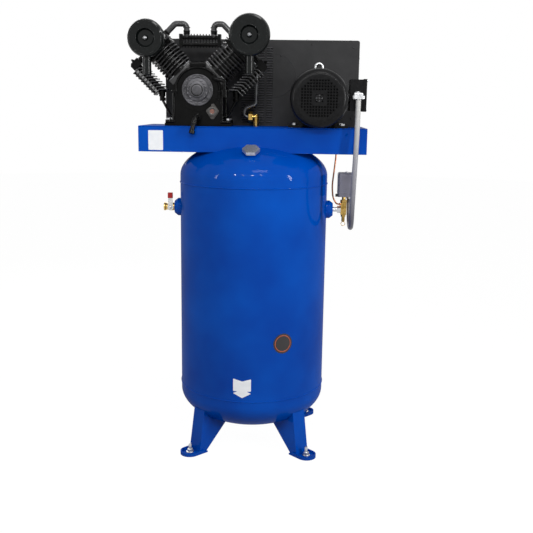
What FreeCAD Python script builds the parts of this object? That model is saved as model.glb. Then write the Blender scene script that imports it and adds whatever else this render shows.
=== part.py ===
"""Vertical tank compressor: an upright air receiver on four legs carries a folded deck with a V-twin pump,
a belt guard and an electric motor.  Millimetres, +Z up, the front faces -Y.  The origin is on the floor,
midway between the four foot holes and on the tank's axis."""
import FreeCAD, Part
import math
import os
import re
import Sketcher
from FreeCAD import Placement, Rotation, Vector

SIZES = {
    # tank
    "tank_radius": 305.0, "tank_wall": 5.0, "lower_seam": 257.0, "shell_length": 851.0,
    "head_flange": 32.0, "head_depth": 145.0, "weld_bead": 2.5,
    "port_height": 1001.0, "port_bore": 10.0, "boss_radius": 37.0, "boss_reach": 26.0,
    "plug_lean": 27.0, "plug_boss": 27.0, "plug_thread": 19.0, "plug_flats": 30.0,
    "inlet_bore": 9.0, "inlet_boss": 22.0, "drain_bore": 6.5,
    # legs
    "foot_offset": 241.0, "foot_hole": 8.0, "pad_radius": 40.0, "pad_plate": 6.0, "pad_rim": 14.0,
    "leg_plate": 5.0, "leg_width": 66.0, "leg_shoulder": 280.0, "leg_depth": 106.0, "leg_heel": 38.0,
    "leg_lean": 37.0,
    # deck
    "deck_gap": 54.0, "deck_length": 900.0, "deck_depth": 330.0, "deck_height": 100.0, "deck_sheet": 5.0,
    "bolt_radius": 5.0, "bolt_clearance": 0.5, "bolt_flats": 8.5,
    # pump
    "pump_offset": -219.0, "crank_height": 140.0, "bank_angle": 45.0, "cylinder_row": -72.0,
    "case_front": 118.0, "case_length": 100.0, "case_width": 200.0, "case_wall": 8.0, "case_foot": 12.0,
    "foot_boss": 24.0,
    "foot_width": 266.0, "bank_face": 101.0, "bank_width": 92.0, "cover_radius": 61.0, "cover_depth": 18.0,
    "journal_radius": 16.0, "crank_throw": 24.0, "web_radius": 44.0, "bearing_depth": 16.0,
    "bore_radius": 38.0, "barrel_radius": 45.0, "fin_radius": 60.0, "fin_count": 7.0, "fin_pitch": 14.0,
    "fin_sheet": 4.0, "barrel_length": 108.0, "head_width": 120.0, "head_height": 60.0, "piston_length": 40.0,
    "running_fit": 0.05, "piston_fit": 0.1, "piston_drop": 9.0, "port_along": 247.0,
    # filters and coolers
    "left_filter_radius": 70.0, "left_filter_along": 270.0, "right_filter_radius": 78.0,
    "right_filter_along": 292.0, "filter_depth": 62.0, "filter_front": 205.0, "filter_sheet": 2.5,
    "filter_recess": 34.0, "snorkel_radius": 17.0, "snorkel_length": 66.0,
    "cooler_height": 191.0, "cooler_length": 142.0, "cooler_header": 24.0, "cooler_fin": 13.0,
    "cooler_tube": 8.0, "cooler_pitch": 12.0, "cooler_row": 13.5, "cooler_shift": 5.0,
    "cooler_spread": 54.0, "pipe_radius": 9.0, "pipe_rise": 51.0,
    "side_offset": 108.0, "side_tip": 32.0, "side_depth": 62.0, "side_start": 109.0, "side_pitch": 14.2,
    "side_count": 9.0, "side_fin": 3.5, "sight_width": 53.0, "sight_height": 76.0,
    "drain_pipe": 7.5,
    # discharge
    "discharge_x": 5.0, "discharge_y": 26.0, "discharge_tube": 5.5, "discharge_fin": 8.5,
    "discharge_pitch": 8.0, "valve_body": 11.0, "valve_flats": 15.0,
    # drive
    "flywheel_radius": 128.0, "flywheel_width": 36.0, "belt_plane": 114.0, "pulley_radius": 52.0,
    "belt_width": 13.0, "belt_depth": 9.0, "groove_pitch": 17.0,
    "guard_front": 72.0, "guard_depth": 84.0, "guard_sheet": 2.0, "guard_left": 377.0, "guard_right": 426.0,
    "guard_height": 350.0, "louvre_pitch": 10.0,
    # motor
    "motor_offset": 258.0, "motor_height": 114.0, "frame_radius": 100.0, "frame_front": 150.0,
    "frame_length": 195.0, "frame_wall": 7.0, "fan_cover_round": 26.0, "bell_depth": 16.0, "fan_cover_radius": 112.0,
    "fan_cover_depth": 80.0, "fan_cover_sheet": 2.5, "grille_radius": 80.0, "grille_pitch": 11.0,
    "grille_hole": 6.4, "shaft_radius": 14.0, "motor_foot": 10.0, "motor_bolt_x": 95.25,
    "motor_bolt_y": 69.85, "motor_bolt_middle": -52.0, "rotor_radius": 58.0, "fan_radius": 88.0,
    "motor_box_gap": 22.0, "motor_box_width": 52.0, "motor_box_depth": 110.0, "motor_box_height": 121.0,
    "motor_box_y": -85.0,
    # switch side
    "switch_width": 72.0, "switch_depth": 74.0, "switch_height": 98.0, "switch_base": 16.0,
    "switch_wall": 3.0, "switch_rise": 56.0, "manifold_reach": 71.0, "manifold_width": 24.0, "switch_reach": 80.0,
    "manifold_height": 50.0, "copper_radius": 3.2, "conduit_radius": 10.0,
    # outlet side
    "valve_length": 46.0, "valve_radius": 15.0, "ball_radius": 11.0, "lever_length": 58.0, "lever_sheet": 3.0,
    "socket_bore": 9.0, "socket_depth": 14.0,
}

doc = FreeCAD.newDocument("vertical_tank_compressor")
sheet = doc.addObject("Spreadsheet::Sheet", "sizes")
for row, (alias, number) in enumerate(SIZES.items(), 1):
    sheet.set(f"A{row}", alias)
    sheet.set(f"B{row}", str(number))
    sheet.setAlias(f"B{row}", alias)
doc.recompute()

ALIAS = re.compile(r"(?<![\w.])(" + "|".join(sorted(SIZES, key=len, reverse=True)) + r")(?!\w)")
AXES = {"X": Vector(1, 0, 0), "-X": Vector(-1, 0, 0), "Y": Vector(0, 1, 0), "-Y": Vector(0, -1, 0),
        "Z": Vector(0, 0, 1), "-Z": Vector(0, 0, -1)}
ORIGIN = ("0", "0", "0")

# Derived places, written as expressions of the sheet's sizes.
UPPER_SEAM = "(lower_seam + shell_length)"
TOP_SPRING = f"({UPPER_SEAM} + head_flange)"
BOTTOM_SPRING = "(lower_seam - head_flange)"
DECK = f"({TOP_SPRING} + head_depth + deck_gap)"
DECK_UNDER = f"({DECK} - deck_sheet)"
CRANK_Z = f"({DECK} + crank_height)"
CASE_BACK = "(case_length - case_front)"
MOTOR_Z = f"({DECK} + motor_height)"
FRAME_BACK = "(frame_length - frame_front)"
CYLINDER_TOP = "(bank_face + barrel_length)"


def formula(text):
    """The text of a FreeCAD expression, with each size's name pointing into the sheet."""
    return ALIAS.sub(r"sizes.\1", str(text))


def value(text):
    """The number that an expression of the sizes gives now."""
    found = sheet.evalExpression(ALIAS.sub(r"\1", str(text)))
    return float(getattr(found, "Value", found))


def point(*place):
    return Vector(*[value(part) for part in place])


def put(piece, at=ORIGIN, axis="Z"):
    """Bind a piece's place to the sheet and turn its own Z to the named axis."""
    piece.Placement = Placement(Vector(), Rotation(Vector(0, 0, 1), AXES[axis]))
    for letter, text in zip("xyz", at):
        piece.setExpression(f"Placement.Base.{letter}", formula(text))
    return piece


def sized(kind, name, at, axis, **sizes):
    piece = doc.addObject(kind, name)
    for prop, text in sizes.items():
        piece.setExpression(prop, formula(text))
    return put(piece, at, axis)


def cylinder(name, radius, length, at=ORIGIN, axis="Z"):
    return sized("Part::Cylinder", name, at, axis, Radius=radius, Height=length)


def block(name, x_size, y_size, z_size, at=ORIGIN):
    """A box centred on its place in X and Y, with its base there in Z."""
    corner = (f"{at[0]} - ({x_size}) / 2", f"{at[1]} - ({y_size}) / 2", at[2])
    return sized("Part::Box", name, corner, "Z", Length=x_size, Width=y_size, Height=z_size)


def hexagon(name, flats, length, at=ORIGIN, axis="Z"):
    """A hexagonal bar; flats is the distance from its axis to a flat."""
    return sized("Part::Prism", name, at, axis, Circumradius=f"({flats}) / cos(30)", Height=length)


def fuse(name, *pieces):
    joined = doc.addObject("Part::MultiFuse", name)
    joined.Shapes = list(pieces)
    joined.Refine = True
    return joined


def cut(name, base, *tools):
    result = doc.addObject("Part::Cut", name)
    result.Base = base
    result.Tool = tools[0] if len(tools) == 1 else fuse(name + "_tools", *tools)
    return result


def ring(name, outer, inner, length, at=ORIGIN, axis="Z"):
    return cut(name, cylinder(name + "_outer", outer, length, at, axis),
               cylinder(name + "_inner", inner, length, at, axis))


def outline(body, plane, corners):
    """A closed sketch on one of the body's planes, each corner tied to the sheet."""
    sketch = body.newObject("Sketcher::SketchObject", body.Name + "_outline")
    base = [feature for feature in body.Origin.OriginFeatures if feature.Role == plane][0]
    sketch.AttachmentSupport = [(base, "")]
    sketch.MapMode = "FlatFace"
    spots = [Vector(value(across), value(up), 0) for across, up in corners]
    for number, spot in enumerate(spots):
        sketch.addGeometry(Part.LineSegment(spot, spots[(number + 1) % len(spots)]), False)
    for number in range(len(spots)):
        sketch.addConstraint(Sketcher.Constraint("Coincident", number, 2, (number + 1) % len(spots), 1))
    for number, (across, up) in enumerate(corners):
        for kind, text, line in (("DistanceX", across, -2), ("DistanceY", up, -1)):
            if text == "0":
                sketch.addConstraint(Sketcher.Constraint("PointOnObject", number, 1, line))
                continue
            tie = sketch.addConstraint(Sketcher.Constraint(kind, -1, 1, number, 1, value(text)))
            sketch.setExpression(f"Constraints[{tie}]", formula(text))
    return sketch


def turned(name, corners, at=ORIGIN, axis="Z"):
    """A lathe-turned piece: corners are (radius, height) along its own axis."""
    body = doc.addObject("PartDesign::Body", name)
    sketch = outline(body, "XZ_Plane", corners)
    turn = body.newObject("PartDesign::Revolution", name + "_turn")
    turn.Profile = sketch
    turn.ReferenceAxis = (sketch, ["V_Axis"])
    turn.Angle = 360
    return put(body, at, axis)


def plate(name, plane, corners, length, at=ORIGIN):
    """A plate of the given outline, its thickness shared between both sides of the plane."""
    body = doc.addObject("PartDesign::Body", name)
    pad = body.newObject("PartDesign::Pad", name + "_pad")
    pad.Profile = outline(body, plane, corners)
    pad.Midplane = True
    pad.setExpression("Length", formula(length))
    return put(body, at)


def shaped(name, shape, at=ORIGIN):
    """A piece whose shape is worked out from the sheet's values."""
    piece = doc.addObject("Part::Feature", name)
    piece.Shape = shape
    return put(piece, at)


def on_bank(piece, side, row="cylinder_row"):
    """Swing a piece that was built upright about the crank axis onto the left (-1) or right (1) bank."""
    piece.Placement = Placement(Vector(), Rotation(Vector(0, 1, 0), side * value("bank_angle")))
    for letter, text in zip("xyz", ("pump_offset", row, CRANK_Z)):
        piece.setExpression(f"Placement.Base.{letter}", formula(text))
    return piece


def bank_point(side, across, along, y):
    """The place of a point of a bank in the part's own frame; across grows towards the middle of the V."""
    lean = math.radians(value("bank_angle"))
    out, up = value(along), value(across)
    x = side * (out * math.sin(lean) - up * math.cos(lean))
    z = out * math.cos(lean) + up * math.sin(lean)
    return Vector(value("pump_offset") + x, value(y), value(CRANK_Z) + z)


def rounded_path(points, share=0.45, radius=None):
    """A wire of straight runs joined by tangent arcs, each as large as its two runs allow."""
    edges, start, radii = [], points[0], []
    for before, corner, after in zip(points, points[1:], points[2:]):
        back, ahead = (before - corner), (after - corner)
        run = min(back.Length, ahead.Length)
        back.normalize()
        ahead.normalize()
        turn = math.pi - back.getAngle(ahead)
        reach = share * run if radius is None else radius * math.tan(turn / 2)
        radii.append(reach / math.tan(turn / 2))
        entry, leave = corner + back * reach, corner + ahead * reach
        inward = (back + ahead).normalize()
        middle = corner + inward * (radii[-1] / math.cos(turn / 2) - radii[-1])
        edges += [Part.LineSegment(start, entry).toShape(), Part.Arc(entry, middle, leave).toShape()]
        start = leave
    edges.append(Part.LineSegment(start, points[-1]).toShape())
    return Part.Wire(edges), radii


def tube(points, radius, bore=0.0, bend=None):
    """A round rod, or a pipe if it has a bore, along a rounded path."""
    path, radii = rounded_path(points, radius=bend)
    along = points[1] - points[0]
    solids = []
    for size in (radius, bore):
        if size > 0:
            circle = Part.Wire(Part.Circle(points[0], along, size).toShape())
            solids.append(path.makePipeShell([circle], True, True))
    rod = solids[0] if len(solids) == 1 else solids[0].cut(solids[1])
    return rod, path, radii


NODES = {}


def node(name, piece):
    piece.Label = name
    NODES[name] = piece
    return piece


# ---------------------------------------------------------------- tank
def tank_solid(name, shrink="0"):
    """The closed form of the tank: shell, straight flanges and both ellipsoidal heads, less a skin."""
    radius = f"(tank_radius - {shrink})"
    depth = f"(head_depth - {shrink})"
    barrel = cylinder(name + "_barrel", radius, "shell_length + 2 * head_flange", ("0", "0", BOTTOM_SPRING))
    ends = [sized("Part::Ellipsoid", f"{name}_{end}", ("0", "0", spring), "Z",
                  Radius1=depth, Radius2=radius, Radius3=radius)
            for end, spring in (("crown", TOP_SPRING), ("belly", BOTTOM_SPRING))]
    return fuse(name, barrel, *ends)


tank_outside = tank_solid("tank_outside")
tank_inside = tank_solid("tank_inside", "tank_wall")
tank_skin = cut("tank_skin", tank_outside, tank_inside)


def tank_slice(name, low, height):
    """The part of the tank's skin between two heights."""
    zone = cylinder(name + "_zone", "tank_radius + 1", height, ("0", "0", low))
    piece = doc.addObject("Part::Common", name + "_slice")
    piece.Base, piece.Tool = tank_skin, zone
    return piece


def weld(name, seam, side):
    """The round bead along a seam, on the head's side of it."""
    bead = doc.addObject("Part::Torus", name)
    bead.setExpression("Radius1", formula("tank_radius"))
    bead.setExpression("Radius2", formula("weld_bead"))
    return put(bead, ("0", "0", f"{seam} + {side} * weld_bead"))


def port_drill(name, side):
    return cylinder(name, "port_bore", "2 * boss_reach + 2 * tank_wall",
                    (f"{side} * (tank_radius - 2 * tank_wall)", "0", "port_height"), "X" if side > 0 else "-X")


# The plug stands on the crown's front where its surface leans forward by plug_lean.
DOME_WIDE, DOME_DEEP = "(tank_radius * sin(plug_lean))", "(head_depth * cos(plug_lean))"
DOME_REACH = f"sqrt({DOME_WIDE} * {DOME_WIDE} + {DOME_DEEP} * {DOME_DEEP})"


def on_dome(piece, lift):
    """Stand an upright piece on the crown at the plug, that far along the surface's own normal."""
    lean = math.radians(value("plug_lean"))
    piece.Placement = Placement(Vector(), Rotation(Vector(0, 0, 1), Vector(0, -math.sin(lean), math.cos(lean))))
    piece.setExpression("Placement.Base.y", formula(
        f"-tank_radius * {DOME_WIDE} / {DOME_REACH} - ({lift}) * sin(plug_lean)"))
    piece.setExpression("Placement.Base.z", formula(
        f"{TOP_SPRING} + head_depth * {DOME_DEEP} / {DOME_REACH} + ({lift}) * cos(plug_lean)"))
    return piece


shell = tank_slice("shell", "lower_seam", "shell_length")
node("tank_shell", cut("tank_shell", shell, port_drill("right_drill", 1), port_drill("left_drill", -1)))

crown = tank_slice("crown", UPPER_SEAM, "head_flange + head_depth")
inlet_boss = cut("inlet_boss", cylinder("inlet_boss_stock", "inlet_boss", "tank_wall + 10",
                                        ("discharge_x", "discharge_y", f"{TOP_SPRING} + head_depth - tank_wall - 5")),
                 tank_inside)
crown_weld = cut("crown_weld", weld("upper_bead", UPPER_SEAM, 1), tank_inside)
plug_boss = cut("plug_boss", on_dome(cylinder("plug_boss_stock", "plug_boss", "3 * tank_wall + 10"),
                                     "-3 * tank_wall"), tank_inside)
node("tank_top_head", cut("tank_top_head", fuse("crown_set", crown, inlet_boss, crown_weld, plug_boss),
                          on_dome(cylinder("plug_drill", "plug_thread", "80"), -40),
                          cylinder("inlet_drill", "inlet_bore", "80",
                                   ("discharge_x", "discharge_y", f"{TOP_SPRING} + head_depth - 40"))))

belly = tank_slice("belly", BOTTOM_SPRING + " - head_depth", "head_flange + head_depth")
belly_weld = cut("belly_weld", weld("lower_bead", "lower_seam", -1), tank_inside)
drain_boss = cut("drain_boss", cylinder("drain_boss_stock", "2 * drain_bore", "tank_wall + 6",
                                        ("0", "0", BOTTOM_SPRING + " - head_depth - 3")), tank_inside)
node("tank_bottom_head", cut("tank_bottom_head", fuse("belly_set", belly, belly_weld, drain_boss),
                             cylinder("drain_drill", "drain_bore", "40",
                                      ("0", "0", BOTTOM_SPRING + " - head_depth - 20"))))


def port_boss(name, side):
    """A heavy forged half-coupling, chamfered at its outer face and shaped to the shell at its root."""
    stock = turned(name + "_stock", [
        ("port_bore", "0"), ("boss_radius", "0"), ("boss_radius", "0.62 * (boss_reach + 2 * tank_wall)"),
        ("0.72 * boss_radius", "boss_reach + 2 * tank_wall"), ("port_bore", "boss_reach + 2 * tank_wall")],
        (f"{side} * (tank_radius - 2 * tank_wall)", "0", "port_height"), "X" if side > 0 else "-X")
    return cut(name, stock, tank_outside)


node("tank_port_bosses", fuse("tank_port_bosses", port_boss("right_boss", 1), port_boss("left_boss", -1)))

# The tank's two plugs: the big one on the crown's front and the small drain plug under the belly.
plug_head = on_dome(hexagon("plug_head", "plug_flats", "13"), 10.3)
plug_body = on_dome(cylinder("plug_body", "plug_thread", "24"), -13)
drain_head = hexagon("drain_head", "1.5 * drain_bore", "5", ("0", "0", BOTTOM_SPRING + " - head_depth - 8.3"))
drain_stem = cylinder("drain_stem", "drain_bore", "11.3", ("0", "0", BOTTOM_SPRING + " - head_depth - 3.3"))
node("tank_plugs", fuse("tank_plugs", plug_head, plug_body, drain_head, drain_stem))


# ---------------------------------------------------------------- legs
def leg_shape():
    """A channel leg facing outwards along +X: a sloping web, two tapering flanges and a pressed foot pan."""
    hole = value("foot_offset") * math.sqrt(2)
    shoulder, depth, heel = value("leg_shoulder"), value("leg_depth"), value("leg_heel")
    toe = shoulder + value("leg_lean")
    low, high, sheet_ = value("pad_plate"), value("lower_seam"), value("leg_plate")
    width, inner = value("leg_width"), value("0.42 * lower_seam")

    def side(corners, near, thick):
        face = Part.Face(Part.makePolygon([Vector(x, near, z) for x, z in corners + corners[:1]]))
        return face.extrude(Vector(0, thick, 0))

    flange = [(shoulder, high), (shoulder - depth, high), (shoulder - depth, inner), (toe - heel, low), (toe, low)]
    web = [(shoulder, high), (shoulder - sheet_, high), (toe - sheet_, low), (toe, low)]
    channel = side(flange, -width / 2, sheet_).multiFuse([side(flange, width / 2 - sheet_, sheet_),
                                                          side(web, -width / 2, width)])
    pad, rim = value("pad_radius"), value("pad_rim")
    back = toe - heel
    pan = Part.makeCylinder(pad, rim, Vector(hole, 0, 0)).fuse(
        Part.makeBox(hole - back, 2 * pad, rim, Vector(back, -pad, 0)))
    hollow = Part.makeCylinder(pad - low, rim, Vector(hole, 0, low)).fuse(
        Part.makeBox(hole - back + pad, 2 * (pad - low), rim, Vector(back - pad, low - pad, low)))
    pan = pan.cut(hollow).cut(Part.makeCylinder(value("foot_hole"), 3 * low, Vector(hole, 0, -low)))
    pan = pan.cut(Part.makeBox(0.4 * pad, 2 * pad + 2, rim, Vector(back - 1, -pad - 1, low)))
    return channel.fuse(pan).removeSplitter()


for quarter, spot in enumerate(("rear_right", "rear_left", "front_left", "front_right")):
    stock = shaped(f"leg_{spot}_stock", leg_shape())
    stock.Placement = Placement(Vector(), Rotation(Vector(0, 0, 1), 45 + 90 * quarter))
    node(f"leg_{spot}", cut(f"leg_{spot}", stock, tank_outside))


# ---------------------------------------------------------------- deck
PUMP_BOLTS = [(f"pump_offset + {side} * (foot_width / 2 - 14)", f"{CASE_BACK} - case_length / 2 + {end} * 34")
              for side in (-1, 1) for end in (-1, 1)]
MOTOR_BOLTS = [(f"motor_offset + {side} * motor_bolt_x", f"motor_bolt_middle + {end} * motor_bolt_y")
               for side in (-1, 1) for end in (-1, 1)]
inside_low = f"({DECK} - deck_height)"
half_deck, half_gap = "(deck_depth / 2)", "(deck_depth / 2 - deck_sheet)"
channel = plate("deck_channel", "YZ_Plane", [
    ("-" + half_deck, inside_low), ("-" + half_deck, f"{DECK} - deck_sheet"), (f"deck_sheet - {half_deck}", DECK),
    (f"{half_deck} - deck_sheet", DECK), (half_deck, f"{DECK} - deck_sheet"), (half_deck, inside_low),
    (half_gap, inside_low), (half_gap, DECK_UNDER), ("-" + half_gap, DECK_UNDER), ("-" + half_gap, inside_low)],
    "deck_length")
deck_holes = [cylinder(f"deck_hole_{number}", "bolt_radius + bolt_clearance", "4 * deck_sheet",
                       (x, y, f"{DECK} - 2 * deck_sheet"))
              for number, (x, y) in enumerate(PUMP_BOLTS + MOTOR_BOLTS)]
deck_holes.append(cylinder("deck_pass", "inlet_boss + 2", "4 * deck_sheet",
                           ("discharge_x", "discharge_y", f"{DECK} - 2 * deck_sheet")))
deck_holes.append(cylinder("deck_tie_hole", "bolt_radius", "4 * deck_sheet",
                           ("0.82 * deck_length / 2", f"-{half_deck} - 2 * deck_sheet",
                            f"{DECK} - 0.25 * deck_height"),
                           "Y"))
node("platform", cut("platform", channel, tank_outside, *deck_holes))


# ---------------------------------------------------------------- bolts through the deck
def deck_bolt(name, x, y, grip):
    """A hexagon bolt with its nut: the head sits on the foot and the nut under the deck."""
    over, under = f"({DECK} + {grip})", f"({DECK_UNDER})"
    shank = cylinder(name + "_shank", "bolt_radius", f"{grip} + deck_sheet + 12", (x, y, f"{DECK_UNDER} - 12"))
    head = hexagon(name + "_head", "bolt_flats", "6.5", (x, y, over))
    nut = cut(name + "_nut", hexagon(name + "_nut_stock", "bolt_flats", "8", (x, y, f"{under} - 8")),
              cylinder(name + "_nut_bore", "bolt_radius", "10", (x, y, f"{under} - 9")))
    return [fuse(name, shank, head), nut]


bolts = []
for number, (x, y) in enumerate(PUMP_BOLTS):
    bolts += deck_bolt(f"pump_bolt_{number}", x, y, "foot_boss")
for number, (x, y) in enumerate(MOTOR_BOLTS):
    bolts += deck_bolt(f"motor_bolt_{number}", x, y, "motor_foot")


# ---------------------------------------------------------------- pump: crankcase and shaft
def case_outline(shrink):
    """The crankcase's front outline about the crank axis: a box below and a flat for each bank above."""
    lean = math.radians(value("bank_angle"))
    face, half = value("bank_face") - shrink, value("bank_width") / 2 - shrink
    wall, floor = value("case_width") / 2 - shrink, value("crank_height") - shrink
    high = (face * math.sin(lean) - half * math.cos(lean), face * math.cos(lean) + half * math.sin(lean))
    low = (face * math.sin(lean) + half * math.cos(lean), face * math.cos(lean) - half * math.sin(lean))
    right = [(wall, -floor), (wall, low[1] - 12), low, high]
    return right + [(-x, z) for x, z in reversed(right)]


def prism(corners, y, depth):
    """An upright outline about the crank axis, drawn from y towards the back."""
    base = Vector(value("pump_offset"), y, value(CRANK_Z))
    loop = [base + Vector(x, 0, z) for x, z in corners + corners[:1]]
    return Part.Face(Part.makePolygon(loop)).extrude(Vector(0, depth, 0))


def crankcase_shape():
    front, length, wall = -value("case_front"), value("case_length"), value("case_wall")
    crank = Vector(value("pump_offset"), 0, value(CRANK_Z))
    floor, foot = value("crank_height"), value("case_foot")
    wide = value("foot_width") / 2
    body = prism(case_outline(0), front, length)
    feet = prism([(-wide, -floor), (-wide, foot - floor), (wide, foot - floor), (wide, -floor)], front, length)
    cheek = Part.makeCylinder(value("cover_radius + 20"), length + 6, crank + Vector(0, front - 6, 0), AXES["Y"])
    snout = Part.makeCone(value("journal_radius + 30"), value("journal_radius + 18"), 26,
                          crank + Vector(0, front + length, 0), AXES["Y"])
    bosses = [Part.makeCylinder(14, value("foot_boss"), point(x, y, DECK)) for x, y in PUMP_BOLTS]
    case = body.multiFuse([feet, cheek, snout] + bosses)
    room = prism(case_outline(wall), front + wall, length - 2 * wall)
    room = room.fuse(Part.makeCylinder(value("web_radius + 6"), length - 2 * wall,
                                       crank + Vector(0, front + wall, 0), AXES["Y"]))
    mouth = Part.makeCylinder(value("web_radius + 4"), wall + 20, crank + Vector(0, front - 15, 0), AXES["Y"])
    seat = Part.makeCylinder(value("journal_radius + 12"), 80, crank + Vector(0, front + length - wall - 1, 0),
                             AXES["Y"])
    case = case.cut(room).cut(mouth).cut(seat)
    row = value("cylinder_row")
    for side in (-1, 1):
        lean = math.radians(side * value("bank_angle"))
        way = Vector(math.sin(lean), 0, math.cos(lean))
        spigot = Part.makeCylinder(value("bore_radius + 4"), value("bank_face"), crank + Vector(0, row, 0), way)
        case = case.cut(spigot)
    for x, y in PUMP_BOLTS:
        case = case.cut(Part.makeCylinder(value("bolt_radius + bolt_clearance"), value("foot_boss") + 2 * foot,
                                          point(x, y, f"{DECK} - case_foot")))
    for hole, y in ((sight_place(), "case_front"), (drain_place(), "case_front")):
        case = case.cut(Part.makeCylinder(7, 30, Vector(hole.x, -value(y) - 5, hole.z), AXES["Y"]))
    filler = Part.makeCylinder(9, 40, crank + Vector(0, row, value("bank_face") - 24))
    return case.cut(filler).removeSplitter()


def sight_place():
    return Vector(value("pump_offset + 0.29 * case_width"), 0, value(f"{CRANK_Z} - 0.58 * crank_height"))


def drain_place():
    return Vector(value("pump_offset"), 0, value(f"{CRANK_Z} - 0.75 * crank_height"))


node("crankcase", shaped("crankcase", crankcase_shape()))

FACE_Y = "(-case_front - 6)"
cover = turned("cover_disc", [
    ("0", "0"), ("cover_radius", "0"), ("cover_radius", "0.5 * cover_depth"),
    ("cover_radius - 16", "0.5 * cover_depth"), ("cover_radius - 20", "0.85 * cover_depth"),
    ("0.5 * cover_radius", "cover_depth"), ("0.46 * cover_radius", "cover_depth + 8"),
    ("0.26 * cover_radius", "cover_depth + 12"), ("0", "cover_depth + 12")],
    ("pump_offset", FACE_Y, CRANK_Z), "-Y")
spigot = ring("cover_spigot", "web_radius + 3.7", "journal_radius + 12", "bearing_depth + 2",
              ("pump_offset", f"{FACE_Y} + bearing_depth + 2", CRANK_Z), "-Y")


def cover_spot(turn, y):
    """The place of a cover screw, at that angle round the crank axis."""
    return (f"pump_offset + (cover_radius - 8) * cos({turn})", y, f"{CRANK_Z} + (cover_radius - 8) * sin({turn})")


cover_bolts, cover_holes = [], []
for turn in range(30, 390, 60):
    cover_bolts.append(fuse(f"cover_bolt_{turn}",
                            hexagon(f"cover_head_{turn}", "5", "4.5",
                                    cover_spot(turn, f"{FACE_Y} - 0.5 * cover_depth"),
                                    "-Y"),
                            cylinder(f"cover_shank_{turn}", "3", "0.5 * cover_depth",
                                     cover_spot(turn, FACE_Y), "-Y")))
    cover_holes.append(cylinder(f"cover_hole_{turn}", "3", "cover_depth",
                                cover_spot(turn, f"{FACE_Y} + 0.1 * cover_depth"), "-Y"))
node("front_bearing_cover", cut("front_bearing_cover", fuse("cover_casting", cover, spigot), *cover_holes))
node("bolts", fuse("bolts", *cover_bolts, *bolts))

# The crankshaft turns in two bearings and carries one throw, shared by both banks' rods.
shaft_front = cylinder("shaft_front", "journal_radius", "case_front + 3 + cylinder_row - 12 - 10 + 4",
                       ("pump_offset", "-case_front - 3", CRANK_Z), "Y")
shaft_back = cylinder("shaft_back", "journal_radius", "belt_plane + flywheel_width / 2 - cylinder_row - 12",
                      ("pump_offset", "cylinder_row + 12", CRANK_Z), "Y")
webs = [cylinder(f"web_{end}", "web_radius", "10", ("pump_offset", place, CRANK_Z), "Y")
        for end, place in (("front", "cylinder_row - 22"), ("back", "cylinder_row + 12"))]
crank_pin = cylinder("crank_pin", "journal_radius - 2", "30",
                     ("pump_offset", "cylinder_row - 15", f"{CRANK_Z} + crank_throw"), "Y")
node("crankshaft", fuse("crankshaft", shaft_front, shaft_back, crank_pin, *webs))
bearings = [ring(f"bearing_{end}", "journal_radius + 12", "journal_radius + running_fit", "bearing_depth",
                 ("pump_offset", y, CRANK_Z), "Y")
            for end, y in (("front", f"{FACE_Y} + 2"), ("back", f"{CASE_BACK} - case_wall"))]
node("shaft_bearings", fuse("shaft_bearings", *bearings))

filler_head = hexagon("filler_head", "13", "8",
                      ("pump_offset", "cylinder_row", f"{CRANK_Z} + (bank_face + bank_width / 2) * sin(bank_angle)"))
filler_stem = cylinder("filler_stem", "9", "9",
                       ("pump_offset", "cylinder_row",
                        f"{CRANK_Z} + (bank_face + bank_width / 2) * sin(bank_angle) - 9"))


def sight_shapes():
    """A diamond flange with a round gauge in it, screwed over its hole in the crankcase's front."""
    spot = sight_place()
    face = -value("case_front")
    wide, tall = value("sight_width") / 2, value("sight_height") / 2
    corners = [Vector(spot.x + x, face, spot.z + z) for x, z in ((0, tall), (wide, 0), (0, -tall), (-wide, 0))]
    flange = Part.Face(Part.makePolygon(corners + corners[:1])).extrude(Vector(0, -5, 0))
    flange = flange.makeFillet(9, [edge for edge in flange.Edges if edge.Length < 6])
    for side in (-1, 1):
        screw = Part.makeCylinder(5, 4, Vector(spot.x, face - 5, spot.z + side * 0.62 * tall), AXES["-Y"])
        flange = flange.fuse(screw)
    barrel = Part.makeCylinder(0.56 * wide + 4, 9, Vector(spot.x, face - 5, spot.z), AXES["-Y"])
    window = Part.makeCylinder(0.56 * wide, 20, Vector(spot.x, face + 1, spot.z), AXES["-Y"])
    frame = flange.fuse(barrel).cut(window)
    lens = Part.makeCylinder(0.56 * wide, 12, Vector(spot.x, face, spot.z), AXES["-Y"])
    return frame.removeSplitter(), lens


sight_frame, sight_lens = sight_shapes()
node("sight_glass_frame", cut("sight_glass_frame", shaped("sight_frame_stock", sight_frame), NODES["crankcase"]))
node("sight_glass_lens", shaped("sight_glass_lens", sight_lens))


def oil_drain_shape():
    """An elbow at the crankcase and a pipe that drops past the deck's front edge to a hexagon cap."""
    start = drain_place()
    face, edge, top = -value("case_front"), -value("deck_depth") / 2, value(DECK)
    bend = Vector(start.x - 2, edge - 8, start.z)
    end = Vector(start.x - 15, edge - 22, top - 20)
    pipe = tube([Vector(start.x, face, start.z), bend, end], value("drain_pipe"), bend=14)[0]
    way = (end - bend).normalize()
    collar = Part.makeCylinder(value("drain_pipe") + 4, 9, Vector(start.x, face, start.z), AXES["-Y"])
    cap = Part.makeCylinder(value("drain_pipe") + 4.5, 12, end - way * 4, way)
    sleeve = Part.makeCylinder(value("drain_pipe") + 2.5, 12, bend + way * 14, way)
    return pipe.multiFuse([collar, cap, sleeve]).removeSplitter()


node("oil_drain_pipe", cut("oil_drain_pipe", shaped("oil_drain_stock", oil_drain_shape()), NODES["crankcase"]))


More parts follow.
